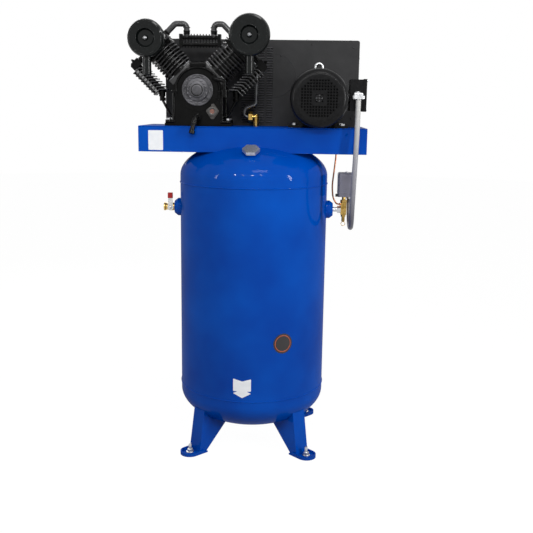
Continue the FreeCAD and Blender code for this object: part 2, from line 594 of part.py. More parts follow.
def breather_shape():
    """A breather elbow out of the crankcase's front, turned down into a small canister."""
    crank, face = Vector(value("pump_offset"), 0, value(CRANK_Z)), -value("case_front")
    out, side = face - 20, crank.x + value("case_width / 2 + 7")
    start = Vector(crank.x + value("0.32 * case_width"), face - 4, crank.z + 44)
    pipe = tube([start, Vector(start.x, out, start.z), Vector(side, out, start.z - 8),
                 Vector(side, out, crank.z - 2)], 7.5, bend=11)[0]
    collar = Part.makeCylinder(13, 5, Vector(start.x, face - 6, start.z), AXES["-Y"])
    pot = Part.makeCylinder(15, 24, Vector(side, out, crank.z - 26))
    brim = Part.makeCylinder(17, 5, Vector(side, out, crank.z - 4))
    return pipe.multiFuse([collar, pot, brim]).removeSplitter()


breather = cut("breather", shaped("breather_stock", breather_shape()), NODES["crankcase"])
dip_at = ("pump_offset + case_width / 2 + 8", "-case_front + 34", f"{DECK} + case_foot")
dip_rod = cylinder("dip_rod", "3.5", "crank_height - case_foot + 6", dip_at)
dip_ball = sized("Part::Sphere", "dip_ball", (dip_at[0], dip_at[1], f"{CRANK_Z} + 10"), "Z", Radius="6.5")
node("crankcase_fittings", fuse("crankcase_fittings", fuse("filler_plug", filler_head, filler_stem), breather,
                                fuse("dipstick", dip_rod, dip_ball)))


# ---------------------------------------------------------------- pump: cylinders, pistons and heads
def cylinder_outline():
    """Bore, spigot, base flange, stacked fins and top flange, as one turned outline about the bore's axis."""
    foot, top = "bank_face", CYLINDER_TOP
    corners = [("bore_radius", f"{foot} - 10"), ("bore_radius + 3.9", f"{foot} - 10"), ("bore_radius + 3.9", foot),
               ("fin_radius - 3", foot), ("fin_radius - 3", f"{foot} + 7"), ("barrel_radius", f"{foot} + 7")]
    for number in range(int(value("fin_count"))):
        low = f"{foot} + {number + 1} * fin_pitch"
        corners += [("barrel_radius", low), ("fin_radius", f"{low} + 0.2 * fin_sheet"),
                    ("fin_radius", f"{low} + 0.8 * fin_sheet"), ("barrel_radius", f"{low} + fin_sheet")]
    corners += [("barrel_radius", f"{top} - 3"), ("fin_radius - 2", f"{top} - 3"), ("fin_radius - 2", top),
                ("bore_radius", top)]
    return corners


def stud_ribs(name, length):
    """The four stud columns that stand across the fins, front and back."""
    ribs = []
    for number, (x, y) in enumerate(((-1, -1), (1, -1), (-1, 1), (1, 1))):
        reach = "(fin_radius - 9.5) * cos(45)"
        ribs.append(cylinder(f"{name}_{number}", "4.5", length, (f"{x} * {reach}", f"{y} * {reach}", "bank_face")))
    return ribs


def head_pieces(name, side):
    """A square head casting with upright ribs, side ports, and an inlet neck reaching forward to its filter."""
    top, neck = CYLINDER_TOP, f"{('left' if side < 0 else 'right')}_filter_along"
    base = block(name + "_base", "head_width", "head_width - 4", "9", ("0", "0", top))
    core = block(name + "_core", "head_width - 14", "head_width - 20", "head_height - 9", ("0", "0", top))
    ribs = [block(f"{name}_rib_{number}", "4", "head_width - 6", "head_height - 9",
                  (f"({number} - 3) * (head_width - 14) / 6.4", "0", f"{top} + 9")) for number in range(7)]
    ports = cylinder(name + "_ports", "pipe_radius + 5", "head_width + 2",
                     ("-head_width / 2 - 1", "0", "port_along"), "X")
    reach = "filter_front - filter_depth + cylinder_row"
    spout = cylinder(name + "_spout", "23", f"{reach} + 20", ("0", "20", neck), "-Y")
    riser = block(name + "_riser", "42", "44", f"{neck} - {top} - 20", ("0", "0", f"{top} + 20"))
    bolts_ = [hexagon(f"{name}_bolt_{number}", "6.5", "14",
                      (f"{x} * 0.4 * head_width", f"{y} * 0.4 * head_width", f"{top} + 9"))
              for number, (x, y) in enumerate(((-1, -1), (1, -1), (-1, 1), (1, 1)))]
    chamber = block(name + "_chamber", "head_width - 44", "head_width - 50", "head_height - 24",
                    ("0", "0", f"{top} - 1"))
    bore = cylinder(name + "_port_bore", "pipe_radius - 1.5", "head_width + 20",
                    ("-head_width / 2 - 10", "0", "port_along"), "X")
    inlet = cylinder(name + "_inlet", "15", f"{reach} + 20", ("0", "10", neck), "-Y")
    drop = cylinder(name + "_drop", "14", f"{neck} - {top} + 0.1", ("0", "0", top))
    return cut(name, fuse(name + "_casting", base, core, spout, riser, ports, *ribs, *bolts_),
               chamber, bore, inlet, drop)


for side, hand in ((-1, "left"), (1, "right")):
    barrel = fuse(f"barrel_{hand}", turned(f"barrel_{hand}_turned", cylinder_outline()),
                  *stud_ribs(f"stud_{hand}", "barrel_length"))
    node(f"cylinder_{hand}", on_bank(barrel, side))
    crown_at = f"{CYLINDER_TOP} - piston_drop - piston_length"
    skirt = turned(f"piston_{hand}", [
        ("0", f"{crown_at} + piston_length - 8"), ("bore_radius - 6", f"{crown_at} + piston_length - 8"),
        ("bore_radius - 6", crown_at), ("bore_radius - piston_fit", crown_at),
        ("bore_radius - piston_fit", f"{crown_at} + piston_length"), ("0", f"{crown_at} + piston_length")])
    node(f"piston_{hand}", on_bank(skirt, side))
    node(f"cylinder_head_{hand}", on_bank(head_pieces(f"head_{hand}", side), side))


# ---------------------------------------------------------------- air filters
def filter_parts(hand, side):
    """A pressed drum with a snorkel, its dished cover, the pleated ring inside and the nut on its stud."""
    radius, along = f"{hand}_filter_radius", f"{hand}_filter_along"
    x = f"pump_offset + {side} * {along} * sin(bank_angle)"
    z = f"({CRANK_Z} + {along} * cos(bank_angle))"
    back = "(filter_depth - filter_front)"
    skin, deep = "filter_sheet", "filter_depth"
    rim = f"0.74 * {deep}"
    drum = turned(f"drum_{hand}", [
        ("15", "0"), (f"{radius} - 8", "0"), (radius, "8"), (radius, rim), (f"{radius} - {skin}", rim),
        (f"{radius} - {skin}", "9"), (f"{radius} - 9", skin), ("15", skin)], (x, back, z), "-Y")
    middle = f"({back} - 0.42 * {deep})"
    foot = f"{z} - {radius} - snorkel_length"
    pipe = cylinder(f"snorkel_{hand}", "snorkel_radius", f"snorkel_length + 0.5 * {radius}", (x, middle, foot))
    inside = cylinder(f"drum_room_{hand}", f"{radius} - {skin}", deep, (x, f"{back} - {skin}", z), "-Y")
    bore = cylinder(f"snorkel_bore_{hand}", "snorkel_radius - 1.5", f"snorkel_length + 0.6 * {radius}",
                    (x, middle, f"{foot} - 1"))
    housing = cut(f"air_filter_{hand}", fuse(f"drum_set_{hand}", drum, cut(f"snorkel_cut_{hand}", pipe, inside)),
                  bore)
    cover_ = turned(f"filter_cover_{hand}", [
        ("4", f"{deep} - 12"), ("filter_recess - 5", f"{deep} - 12"), ("filter_recess + 2", deep),
        (f"{radius} - 10", deep), (f"{radius} - 3", f"{deep} - 3"), (radius, f"{deep} - 10"), (radius, rim),
        (f"{radius} - {skin}", rim), (f"{radius} - {skin}", f"{deep} - 11"), (f"{radius} - 5", f"{deep} - 5"),
        (f"{radius} - 11", f"{deep} - {skin}"), ("filter_recess + 4", f"{deep} - {skin}"),
        ("filter_recess - 3", f"{deep} - 12 - {skin}"), ("4", f"{deep} - 12 - {skin}")], (x, back, z), "-Y")
    element = ring(f"element_{hand}", f"{radius} - 14", "22", f"{deep} - 12 - 2 * {skin}",
                   (x, f"{back} - {skin}", z), "-Y")
    nut = turned(f"filter_nut_{hand}", [
        ("0", "0"), ("4", "0"), ("4", f"{deep} - 12"), ("11", f"{deep} - 12"), ("7", f"{deep} - 5"),
        ("6", f"{deep} - 1"), ("3", f"{deep} + 2"), ("0", f"{deep} + 2")], (x, back, z), "-Y")
    return housing, cover_, element, nut


filter_sets = {hand: filter_parts(hand, side) for hand, side in (("left", -1), ("right", 1))}
for hand, parts_ in filter_sets.items():
    node(f"air_filter_{hand}", parts_[0])
node("air_filter_covers", fuse("air_filter_covers", *[piece for parts_ in filter_sets.values()
                                                      for piece in (parts_[1], parts_[3])]))
node("air_filter_elements", fuse("air_filter_elements", *[parts_[2] for parts_ in filter_sets.values()]))


# ---------------------------------------------------------------- coolers on the pump
def finned_tube(length, bare, fin, pitch, thick, width=None):
    """An upright tube with round or square fins stacked along it."""
    shape = [Part.makeCylinder(bare, length)]
    for number in range(int(length // pitch)):
        low = (length - pitch * (length // pitch - 1) - thick) / 2 + number * pitch
        if width is None:
            shape.append(Part.makeCylinder(fin, thick, Vector(0, 0, low)))
        else:
            shape.append(Part.makeBox(2 * fin, width, thick, Vector(-fin, -width / 2, low)))
    return shape[0].multiFuse(shape[1:])


def top_cooler_shape():
    """Two finned rows over the V between a pair of headers, and the pipe that comes to them from each head."""
    row, high = value("cylinder_row"), value(f"{CRANK_Z} + cooler_height")
    middle = value("pump_offset + cooler_shift")
    length, header, gap = value("cooler_length"), value("cooler_header"), value("cooler_row")
    core = finned_tube(length, value("cooler_tube"), value("cooler_fin"), value("cooler_pitch"), 3.0)
    pieces = []
    for lift in (-gap, gap):
        spine = core.copy()
        spine.Placement = Placement(Vector(middle - length / 2, row, high + lift), Rotation(Vector(0, 1, 0), 90))
        pieces.append(spine)
    for side in (-1, 1):
        pieces.append(Part.makeBox(14, header, 2 * gap + header,
                                   Vector(middle + side * (length / 2 + 5) - 7, row - header / 2,
                                          high - gap - header / 2)))
        start = bank_point(side, "head_width / 2 + 1", "port_along", "cylinder_row")
        top = value(f"{CRANK_Z} + cooler_height + cooler_row + pipe_rise")
        end = Vector(middle + side * value("cooler_spread"), row, high + gap)
        corner = Vector(start.x - side * (top - start.z), row, top)
        points = [start, corner, Vector(end.x, row, top), end]
        pieces.append(tube(points, value("pipe_radius"), bend=17)[0])
        way = (corner - start).normalize()
        pieces.append(Part.makeCylinder(value("pipe_radius + 4"), 10, start, way))
        pieces.append(Part.makeCylinder(value("pipe_radius + 4"), 12, end + Vector(0, 0, value("cooler_fin") - 2)))
    return pieces[0].multiFuse(pieces[1:]).removeSplitter()


node("top_cooler", shaped("top_cooler", top_cooler_shape()))


def side_cooler_shape(side):
    """Bent fins on a tube beside the cylinder, a cap joined to the head above and a drain tube to the case."""
    across, tip, deep = -value("side_offset"), value("side_tip"), value("side_depth")
    low, pitch, thick = value("side_start"), value("side_pitch"), value("side_fin")
    count = int(value("side_count"))
    row, middle = value("cylinder_row"), value("pump_offset")

    def spot(a, b, y=row):
        return bank_point(side, str(a), str(b), str(y))

    def slab(corners, depth):
        loop = [spot(a, b, row - depth / 2) for a, b in corners]
        return Part.Face(Part.makePolygon(loop + loop[:1])).extrude(Vector(0, depth, 0))

    way = (spot(across, 200) - spot(across, 100)).normalize()
    high = value("port_along")
    pieces = [Part.makeCylinder(12, high - low + 6, spot(across, low - 6), way)]
    for number in range(count):
        here = low + number * pitch
        pieces.append(slab([(across - tip, here), (across, here), (across + 0.7 * tip, here - 0.7 * tip),
                            (across + 0.7 * tip, here - 0.7 * tip + thick * 1.41), (across, here + thick),
                            (across - tip, here + thick)], deep))
    pieces.append(slab([(across - tip + 2, low), (across - tip + 8, low),
                        (across - tip + 8, low + count * pitch - 8),
                        (across - tip + 2, low + count * pitch - 8)], 0.6 * deep))
    pieces.append(slab([(across - 21, high - 16), (across + 21, high - 16), (across + 21, high + 14),
                        (across - 12, high + 14), (across - 21, high + 6)], 40))
    inward = (spot(0, high) - spot(across, high)).normalize()
    pieces.append(Part.makeCylinder(value("pipe_radius + 3"), -across - value("head_width / 2") - 1,
                                    spot(across, high), inward))
    for y in (-12, 12):
        pieces.append(Part.makeCylinder(5, 5, spot(across, high + 13, row + y), way))
    foot = spot(across, low - 6)
    elbow = [foot + Vector(0, 0, 6), foot - Vector(0, 0, 34),
             Vector(middle + side * value("case_width / 2 + 14"), row, value(f"{DECK} + 38")),
             Vector(middle + side * value("case_width / 2"), row, value(f"{DECK} + 38"))]
    pieces.append(Part.makeSphere(15, foot))
    pieces.append(Part.makeCylinder(13, 24, foot - Vector(0, 0, 22)))
    pieces.append(Part.makeCylinder(10, 10, foot - Vector(0, 0, 32)))
    pieces.append(tube(elbow, 5, bend=12)[0])
    pieces.append(Part.makeCylinder(8, 8, elbow[-1], Vector(side, 0, 0)))
    return pieces[0].multiFuse(pieces[1:]).removeSplitter()


for side, hand in ((-1, "left"), (1, "right")):
    node(f"side_cooler_{hand}", shaped(f"side_cooler_{hand}", side_cooler_shape(side)))


# ---------------------------------------------------------------- discharge to the tank
def discharge_points():
    """From the top cooler's back, behind the right bank, down beside the pump and into the elbow's nut."""
    x, y, deck = value("discharge_x"), value("discharge_y"), value(DECK)
    start = Vector(value("pump_offset + cooler_shift + cooler_length / 2 + 5"),
                   value("cylinder_row + cooler_header / 2"),
                   value(f"{CRANK_Z} + cooler_height - cooler_row"))
    return [start, Vector(start.x, y, start.z), Vector(x, y, deck + 245), Vector(x, y, deck + 88),
            Vector(x - 44, y, deck + 72), Vector(x - 52, y, deck + 37), Vector(x - 29, y, deck + 37)]


def discharge_tube_shape():
    points = discharge_points()
    pipe, path, _ = tube(points, value("discharge_tube"), bend=14)
    rings, pitch = [], value("discharge_pitch")
    for number in range(3, int(path.Length / pitch) - 2):
        edges, at = path.OrderedEdges, number * pitch
        for edge in edges:
            if at <= edge.Length:
                turn = edge.getParameterByLength(at)
                spot, way = edge.valueAt(turn), edge.tangentAt(turn)
                break
            at -= edge.Length
        rings.append(Part.makeCylinder(value("discharge_fin"), 2.6, spot - way * 1.3, way))
    return pipe.multiFuse(rings)


node("discharge_tube", shaped("discharge_tube", discharge_tube_shape()))


def discharge_elbow_shape():
    """The brass elbow over the check valve, which passes through the deck and screws into the crown's boss."""
    x, y, deck = value("discharge_x"), value("discharge_y"), value(DECK)
    crown = value(f"{TOP_SPRING} + head_depth + 5")
    body, flats = value("valve_body"), value("valve_flats")
    hexes = []
    for size, base, length, way in ((flats, Vector(x, y, crown), deck - 8 - crown, "Z"),
                                    (20, Vector(x - 30, y, deck + 37), 16, "X")):
        corners = [Vector(size / math.cos(math.pi / 6) * math.cos(math.radians(60 * k)),
                          size / math.cos(math.pi / 6) * math.sin(math.radians(60 * k)), 0) for k in range(7)]
        prism_ = Part.Face(Part.makePolygon(corners)).extrude(Vector(0, 0, length))
        prism_.Placement = Placement(base, Rotation(Vector(0, 0, 1), AXES[way]))
        hexes.append(prism_)
    pieces = [Part.makeCylinder(body, deck + 46 - crown, Vector(x, y, crown)),
              Part.makeCylinder(value("inlet_bore"), 14, Vector(x, y, crown - 14)),
              Part.makeCylinder(body, 20, Vector(x - 15, y, deck + 37), AXES["X"])]
    whole = hexes[0].multiFuse(hexes[1:] + pieces)
    socket = Part.makeCylinder(value("discharge_tube"), 4, Vector(x - 31, y, deck + 37), AXES["X"])
    return whole.cut(socket).removeSplitter()


node("discharge_elbow", shaped("discharge_elbow", discharge_elbow_shape()))


# ---------------------------------------------------------------- belt drive
def sheave(radius, hub, bore, web):
    """Corners of a two-groove wheel: hub, a plain web and a rim with a V groove for each belt."""
    rim, half = f"({radius} - belt_depth - 13)", "(flywheel_width / 2)"
    corners = [(bore, "0"), (hub, "0"), (hub, f"{half} - {web} / 2"), (rim, f"{half} - {web} / 2"), (rim, "0"),
               (radius, "0")]
    for side in (-1, 1):
        middle = f"{half} + {side} * groove_pitch / 2"
        corners += [(radius, f"{middle} - belt_width / 2 - 0.5"),
                    (f"{radius} - belt_depth - 2", f"{middle} - belt_width / 2 + 2.2"),
                    (f"{radius} - belt_depth - 2", f"{middle} + belt_width / 2 - 2.2"),
                    (radius, f"{middle} + belt_width / 2 + 0.5")]
    corners += [(radius, "flywheel_width"), (rim, "flywheel_width"), (rim, f"{half} + {web} / 2"),
                (hub, f"{half} + {web} / 2"), (hub, "flywheel_width"), (bore, "flywheel_width")]
    return corners


WHEEL_Y = "(belt_plane - flywheel_width / 2)"
wheel = turned("flywheel_turned", sheave("flywheel_radius", "(journal_radius + 18)", "journal_radius", "10"),
               ("pump_offset", WHEEL_Y, CRANK_Z), "Y")
windows = [cylinder(f"flywheel_window_{turn}", "0.15 * flywheel_radius", "flywheel_width",
                    (f"pump_offset + 0.55 * flywheel_radius * cos({turn})", WHEEL_Y,
                     f"{CRANK_Z} + 0.55 * flywheel_radius * sin({turn})"), "Y") for turn in range(0, 360, 72)]
node("flywheel", cut("flywheel", wheel, *windows))
node("motor_pulley", turned("motor_pulley", [
    corner for corner in sheave("pulley_radius", "(shaft_radius + 10)", "shaft_radius", "12")],
    ("motor_offset", WHEEL_Y, MOTOR_Z), "Y"))


def belt_loop(big, small):
    """The closed line round the flywheel and the motor pulley at those radii."""
    far, near = point("pump_offset", "belt_plane", CRANK_Z), point("motor_offset", "belt_plane", MOTOR_Z)
    gap = (near - far).Length
    along = (near - far).normalize()
    up = Vector(-along.z, 0, along.x)
    tilt = math.asin((big - small) / gap)
    high = along * math.sin(tilt) + up * math.cos(tilt)
    low = along * math.sin(tilt) - up * math.cos(tilt)
    spots = [far + high * big, near + high * small, near + along * small, near + low * small, far + low * big,
             far - along * big]
    edges = [Part.LineSegment(spots[0], spots[1]).toShape(), Part.Arc(*spots[1:4]).toShape(),
             Part.LineSegment(spots[3], spots[4]).toShape(), Part.Arc(spots[4], spots[5], spots[0]).toShape()]
    return edges


def belt_shape(shift):
    """One V belt, as slices of a wedge section swept round the loop."""
    depth, width, thin = value("belt_depth"), value("belt_width"), 3
    layers = []
    for number in range(thin):
        inner, outer = depth * (1 - number / thin), depth * (1 - (number + 1) / thin)
        half = width / 2 - 2.3 + 2.0 * number / thin
        faces = [Part.Face(Part.Wire(belt_loop(value("flywheel_radius") - size + 0.4,
                                               value("pulley_radius") - size + 0.4))) for size in (outer, inner)]
        solids = [face.extrude(Vector(0, 2 * half, 0)) for face in faces]
        layer = solids[0].cut(solids[1])
        layer.translate(Vector(0, shift - half, 0))
        layers.append(layer)
    return layers[0].multiFuse(layers[1:]).removeSplitter()


belts = [belt_shape(side * value("groove_pitch / 2")) for side in (-1, 1)]
node("v_belts", shaped("v_belts", Part.makeCompound(belts)))


def rounded_box(left, right, low, high, front, depth, corner):
    """An upright slab with its four corners rounded, from front towards the back."""
    body = Part.makeBox(right - left, depth, high - low, Vector(left, front, low))
    edges = [edge for edge in body.Edges if abs(edge.Length - depth) < 0.01
             and abs(edge.Vertexes[0].Point.y - edge.Vertexes[1].Point.y) > 1]
    return body.makeFillet(corner, edges)


def guard_half(front, depth, face_front):
    """One pressed half of the belt guard: a face and its rim, open towards the belt plane."""
    left, right = -value("guard_left"), value("guard_right")
    low, high, skin = value(DECK), value(f"{DECK} + guard_height"), value("guard_sheet")
    pan = rounded_box(left, right, low, high, front, depth, 9)
    room_front = front + skin if face_front else front - 1
    room = rounded_box(left + skin, right - skin, low + skin, high - skin, room_front, depth - skin + 1, 7)
    return pan.cut(room)


def guard_front_shape():
    """The front half, with a mouth for each shaft, and louvres in three columns behind the flywheel's side."""
    front, skin = value("guard_front"), value("guard_sheet")
    pan = guard_half(front, value("guard_depth / 2"), True)
    mouths = [Part.makeCylinder(value(size), 4 * skin, point(x, f"guard_front - guard_sheet", z), AXES["Y"])
              for size, x, z in (("journal_radius + 22", "pump_offset", CRANK_Z),
                                 ("shaft_radius + 14", "motor_offset", MOTOR_Z))]
    pitch, low = value("louvre_pitch"), value(DECK) + 14
    slots = []
    for left, width in ((-60, 62), (10, 26), (44, 26)):
        for number in range(int((value("guard_height") - 40) / pitch)):
            slots.append(Part.makeBox(width, 4 * skin, 0.42 * pitch,
                                      Vector(left, front - skin, low + number * pitch)))
    return pan.cut(Part.makeCompound(mouths + slots))


node("belt_guard_front", shaped("belt_guard_front", guard_front_shape()))
node("belt_guard_back", shaped("belt_guard_back", guard_half(value("guard_front + guard_depth / 2"),
                                                             value("guard_depth / 2"), False)))


# ---------------------------------------------------------------- motor
def motor_frame_shape():
    """Housing with its stator core, two bolted feet, cooling ribs, a lifting eye and the terminal box's pad."""
    middle, height = point("motor_offset", "-frame_front", MOTOR_Z), value("motor_height")
    radius, length = value("frame_radius"), value("frame_length")
    frame = Part.makeCylinder(radius, length, middle, AXES["Y"])
    pieces = [Part.makeCylinder(7, 14, middle + Vector(0, length / 2, radius - 2)),
              Part.makeTorus(13, 5, middle + Vector(0, length / 2, radius + 22), AXES["Y"])]
    for turn in range(0, 360, 15):
        if 200 < turn < 340 or turn == 0:
            continue
        rib = Part.makeBox(7, length - 20, 5, Vector(radius - 2, 10, -2.5))
        rib.Placement = Placement(middle, Rotation(Vector(0, 1, 0), -turn))
        pieces.append(rib)
    half, foot = value("motor_bolt_x"), value("motor_foot")
    depth, back = value("2 * motor_bolt_y + 34"), value("motor_bolt_middle - motor_bolt_y - 17")
    for side in (-1, 1):
        left = middle.x + side * (half - 5) - 27
        pieces.append(Part.makeBox(54, depth, foot, Vector(left, back, middle.z - height)))
        pieces.append(Part.makeBox(12, depth, height - 0.62 * radius,
                                   Vector(middle.x + side * (half - 24) - 6, back, middle.z - height)))
    pieces.append(Part.makeCylinder(26, value("motor_box_gap + frame_wall + 6"),
                                    Vector(middle.x + radius - 6 - value("frame_wall"),
                                           value("motor_box_y"), middle.z + 8),
                                    AXES["X"]))
    whole = frame.multiFuse(pieces)
    room = Part.makeCylinder(value("rotor_radius + 1"), length + 2, middle + Vector(0, -1, 0), AXES["Y"])
    holes = [Part.makeCylinder(value("bolt_radius + bolt_clearance"), 4 * foot,
                               point(x, y, f"{DECK} - motor_foot"), AXES["Z"]) for x, y in MOTOR_BOLTS]
    return whole.cut(room).cut(Part.makeCompound(holes)).removeSplitter()


node("motor_frame", shaped("motor_frame", motor_frame_shape()))

bells = []
for end, y, axis in (("front", "-frame_front", "-Y"), ("back", FRAME_BACK, "Y")):
    bells.append(turned(f"bell_{end}", [
        ("shaft_radius + running_fit", "-6"), ("shaft_radius + 20", "-6"), ("shaft_radius + 20", "0"),
        ("frame_radius", "0"), ("frame_radius", "0.5 * bell_depth"), ("0.8 * frame_radius", "bell_depth"),
        ("shaft_radius + running_fit", "bell_depth")], ("motor_offset", y, MOTOR_Z), axis))
node("motor_end_bells", fuse("motor_end_bells", *bells))


def fan_cover_shape():
    """A pressed cowl with a rolled front edge and a round field of square holes, left blank near the middle."""
    radius, skin, deep = value("fan_cover_radius"), value("fan_cover_sheet"), value("fan_cover_depth")
    roll = value("fan_cover_round")
    middle = point("motor_offset", "-frame_front - 5", MOTOR_Z)
    stock = Part.makeCylinder(radius, deep, middle, AXES["-Y"])
    front = [edge for edge in stock.Edges if edge.Closed and abs(edge.CenterOfMass.y - middle.y + deep) < 0.01]
    stock = stock.makeFillet(roll, front)
    room = Part.makeCylinder(radius - skin, deep - skin, middle, AXES["-Y"])
    front = [edge for edge in room.Edges if edge.Closed and abs(edge.CenterOfMass.y - middle.y + deep - skin) < 0.01]
    room = room.makeFillet(roll - skin, front)
    collar = Part.makeCylinder(radius, 14, middle, AXES["Y"])
    ledge = Part.makeCylinder(value("frame_radius"), 14, middle, AXES["Y"])
    shell_ = stock.fuse(collar).cut(room.fuse(ledge))
    pitch, hole, field = value("grille_pitch"), value("grille_hole"), value("grille_radius")
    punches = []
    count = int(field // pitch)
    for column in range(-count, count + 1):
        for line in range(-count, count + 1):
            away = math.hypot(column, line) * pitch
            if away + 0.6 * hole > field or (max(abs(column), abs(line)) > 1 and away < 2.9 * pitch):
                continue
            punches.append(Part.makeBox(hole, 3 * skin, hole, Vector(
                middle.x + column * pitch - hole / 2, middle.y - deep - skin, middle.z + line * pitch - hole / 2)))
    return shell_.cut(Part.makeCompound(punches))


node("fan_cover", shaped("fan_cover", fan_cover_shape()))


def fan_shape():
    """A hub and eight straight vanes on a back plate."""
    middle = point("motor_offset", "-frame_front - bell_depth - 6", MOTOR_Z)
    hub = Part.makeCylinder(value("shaft_radius + 12"), 30, middle, AXES["-Y"])
    plate_ = Part.makeCylinder(value("fan_radius"), 4, middle, AXES["-Y"])
    vanes = []
    for turn in range(0, 360, 45):
        vane = Part.makeBox(value("fan_radius - shaft_radius - 12"), 28, 3,
                            Vector(value("shaft_radius + 10"), -30, -1.5))
        vane.Placement = Placement(middle, Rotation(Vector(0, 1, 0), turn))
        vanes.append(vane)
    whole = hub.multiFuse([plate_] + vanes)
    return whole.cut(Part.makeCylinder(value("shaft_radius"), 80, middle + Vector(0, 5, 0), AXES["-Y"]))


node("cooling_fan", shaped("cooling_fan", fan_shape()))
rotor_core = cylinder("rotor_core", "rotor_radius", "frame_length - 30",
                      ("motor_offset", "15 - frame_front", MOTOR_Z), "Y")
rotor_shaft = cylinder("rotor_shaft", "shaft_radius",
                       "frame_front + bell_depth + 36 + belt_plane + flywheel_width / 2",
                       ("motor_offset", "-frame_front - bell_depth - 36", MOTOR_Z), "Y")
node("motor_rotor", fuse("motor_rotor", rotor_core, rotor_shaft))

# The terminal box stands off the motor's right side on a short neck; its cover is the outer face.
BOX_LEFT = "(motor_offset + frame_radius + motor_box_gap)"
box_low = f"({MOTOR_Z} - 47)"
box_stock = block("box_stock", "motor_box_width", "motor_box_depth", "motor_box_height",
                  (f"{BOX_LEFT} + motor_box_width / 2", "motor_box_y", box_low))
box_room = block("box_room", "motor_box_width", "motor_box_depth - 6", "motor_box_height - 6",
                 (f"{BOX_LEFT} + motor_box_width / 2 + 3", "motor_box_y", f"{box_low} + 3"))
node("terminal_box", cut("terminal_box", box_stock, box_room))
cover_plate = block("box_cover_plate", "12", "motor_box_depth + 4", "motor_box_height + 4",
                    (f"{BOX_LEFT} + motor_box_width + 6", "motor_box_y", f"{box_low} - 2"))
cover_room = block("box_cover_room", "10", "motor_box_depth - 4", "motor_box_height - 4",
                   (f"{BOX_LEFT} + motor_box_width + 5", "motor_box_y", f"{box_low} + 2"))
node("terminal_box_cover", cut("terminal_box_cover", cover_plate, cover_room))


# ---------------------------------------------------------------- right port: manifold, switch and safety valve
MANIFOLD_X = "(tank_radius + manifold_reach)"
SWITCH_LOW = "(port_height + switch_rise)"
SWITCH_X = "(tank_radius + switch_reach)"
nipple_right = ring("nipple_right", "port_bore", "port_bore - 3",
                    "manifold_reach - manifold_width / 2 + 4",
                    ("tank_radius - 4", "0", "port_height"), "X")
nipple_nut = cut("nipple_nut", hexagon("nipple_hex", "13", "14",
                                       (f"{MANIFOLD_X} - manifold_width / 2 - 14", "0", "port_height"), "X"),
                 cylinder("nipple_nut_bore", "port_bore", "20",
                          (f"{MANIFOLD_X} - manifold_width / 2 - 17", "0", "port_height"), "X"))
node("switch_nipple", fuse("switch_nipple", nipple_right, nipple_nut))

MANIFOLD_LOW = "(port_height + 29 - manifold_height)"
manifold_block = block("manifold_block", "manifold_width", "manifold_width", "manifold_height",
                       (MANIFOLD_X, "0", MANIFOLD_LOW))
riser = cylinder("manifold_riser", "8", f"{SWITCH_LOW} - {MANIFOLD_LOW} - manifold_height + 1",
                 (MANIFOLD_X, "0", f"{MANIFOLD_LOW} + manifold_height - 1"))
riser_nut = hexagon("manifold_riser_nut", "12", "12", (MANIFOLD_X, "0", f"{MANIFOLD_LOW} + manifold_height"))
manifold_bore = cylinder("manifold_bore", "port_bore - 3", "manifold_width / 2 + 1",
                         (f"{MANIFOLD_X} - manifold_width / 2 - 1", "0", "port_height"), "X")
riser_bore = cylinder("riser_bore", "5", f"{SWITCH_LOW} - {MANIFOLD_LOW} + 40",
                      (MANIFOLD_X, "0", f"{MANIFOLD_LOW} - 20"))
node("switch_manifold", cut("switch_manifold", fuse("manifold_set", manifold_block, riser, riser_nut), manifold_bore,
                            riser_bore))


def box_with_round_edges(x, y, low, wide, deep, high, corner, top=0):
    body = Part.makeBox(wide, deep, high, Vector(x - wide / 2, y - deep / 2, low))
    upright = [edge for edge in body.Edges if abs(edge.Vertexes[0].Point.z - edge.Vertexes[1].Point.z) > high - 0.01]
    body = body.makeFillet(corner, upright)
    if top:
        rim = [edge for edge in body.Edges if min(v.Point.z for v in edge.Vertexes) > low + high - 0.01]
        body = body.makeFillet(top, rim)
    return body


def switch_shapes():
    """The pressure switch: a cast base on the riser and a rounded cover over it."""
    x, low = value(SWITCH_X), value(SWITCH_LOW)
    wide, deep, high, base = (value(size) for size in ("switch_width",
                                                       "switch_depth", "switch_height", "switch_base"))
    wall = value("switch_wall")
    plinth = box_with_round_edges(x, 0, low, wide, deep, base, 9)
    plinth = plinth.fuse(Part.makeCylinder(20, 30, Vector(value(MANIFOLD_X), 0, low + base - 1)))
    plinth = plinth.cut(Part.makeCylinder(5, 14, Vector(value(MANIFOLD_X), 0, low - 1)))
    hood = box_with_round_edges(x, 0, low + base, wide, deep, high - base, 9, 8)
    room = box_with_round_edges(x, 0, low + base - 1, wide - 2 * wall, deep - 2 * wall, high - base - wall + 1, 7, 6)
    return plinth.removeSplitter(), hood.cut(room)


plinth, hood = switch_shapes()
node("pressure_switch_base", shaped("pressure_switch_base", plinth))
node("pressure_switch_cover", shaped("pressure_switch_cover", hood))
SWITCH_LEFT = f"({SWITCH_X} - switch_width / 2)"
lever_at = (SWITCH_LEFT, "-switch_depth / 4", f"{SWITCH_LOW} + switch_base / 2")
switch_pin = cylinder("switch_lever_pin", "3", "5", lever_at, "-X")
switch_arm = block("switch_lever_arm", "3", "30", "6",
                   (f"{SWITCH_LEFT} - 3.5", "-switch_depth / 4 - 12", f"{SWITCH_LOW} + switch_base / 2 - 3"))
switch_knob = cylinder("switch_lever_knob", "6", "9",
                       (f"{SWITCH_LEFT} - 1", "-switch_depth / 4 - 24", f"{SWITCH_LOW} + switch_base / 2"), "-X")
node("pressure_switch_lever", fuse("pressure_switch_lever", switch_pin, switch_arm, switch_knob))

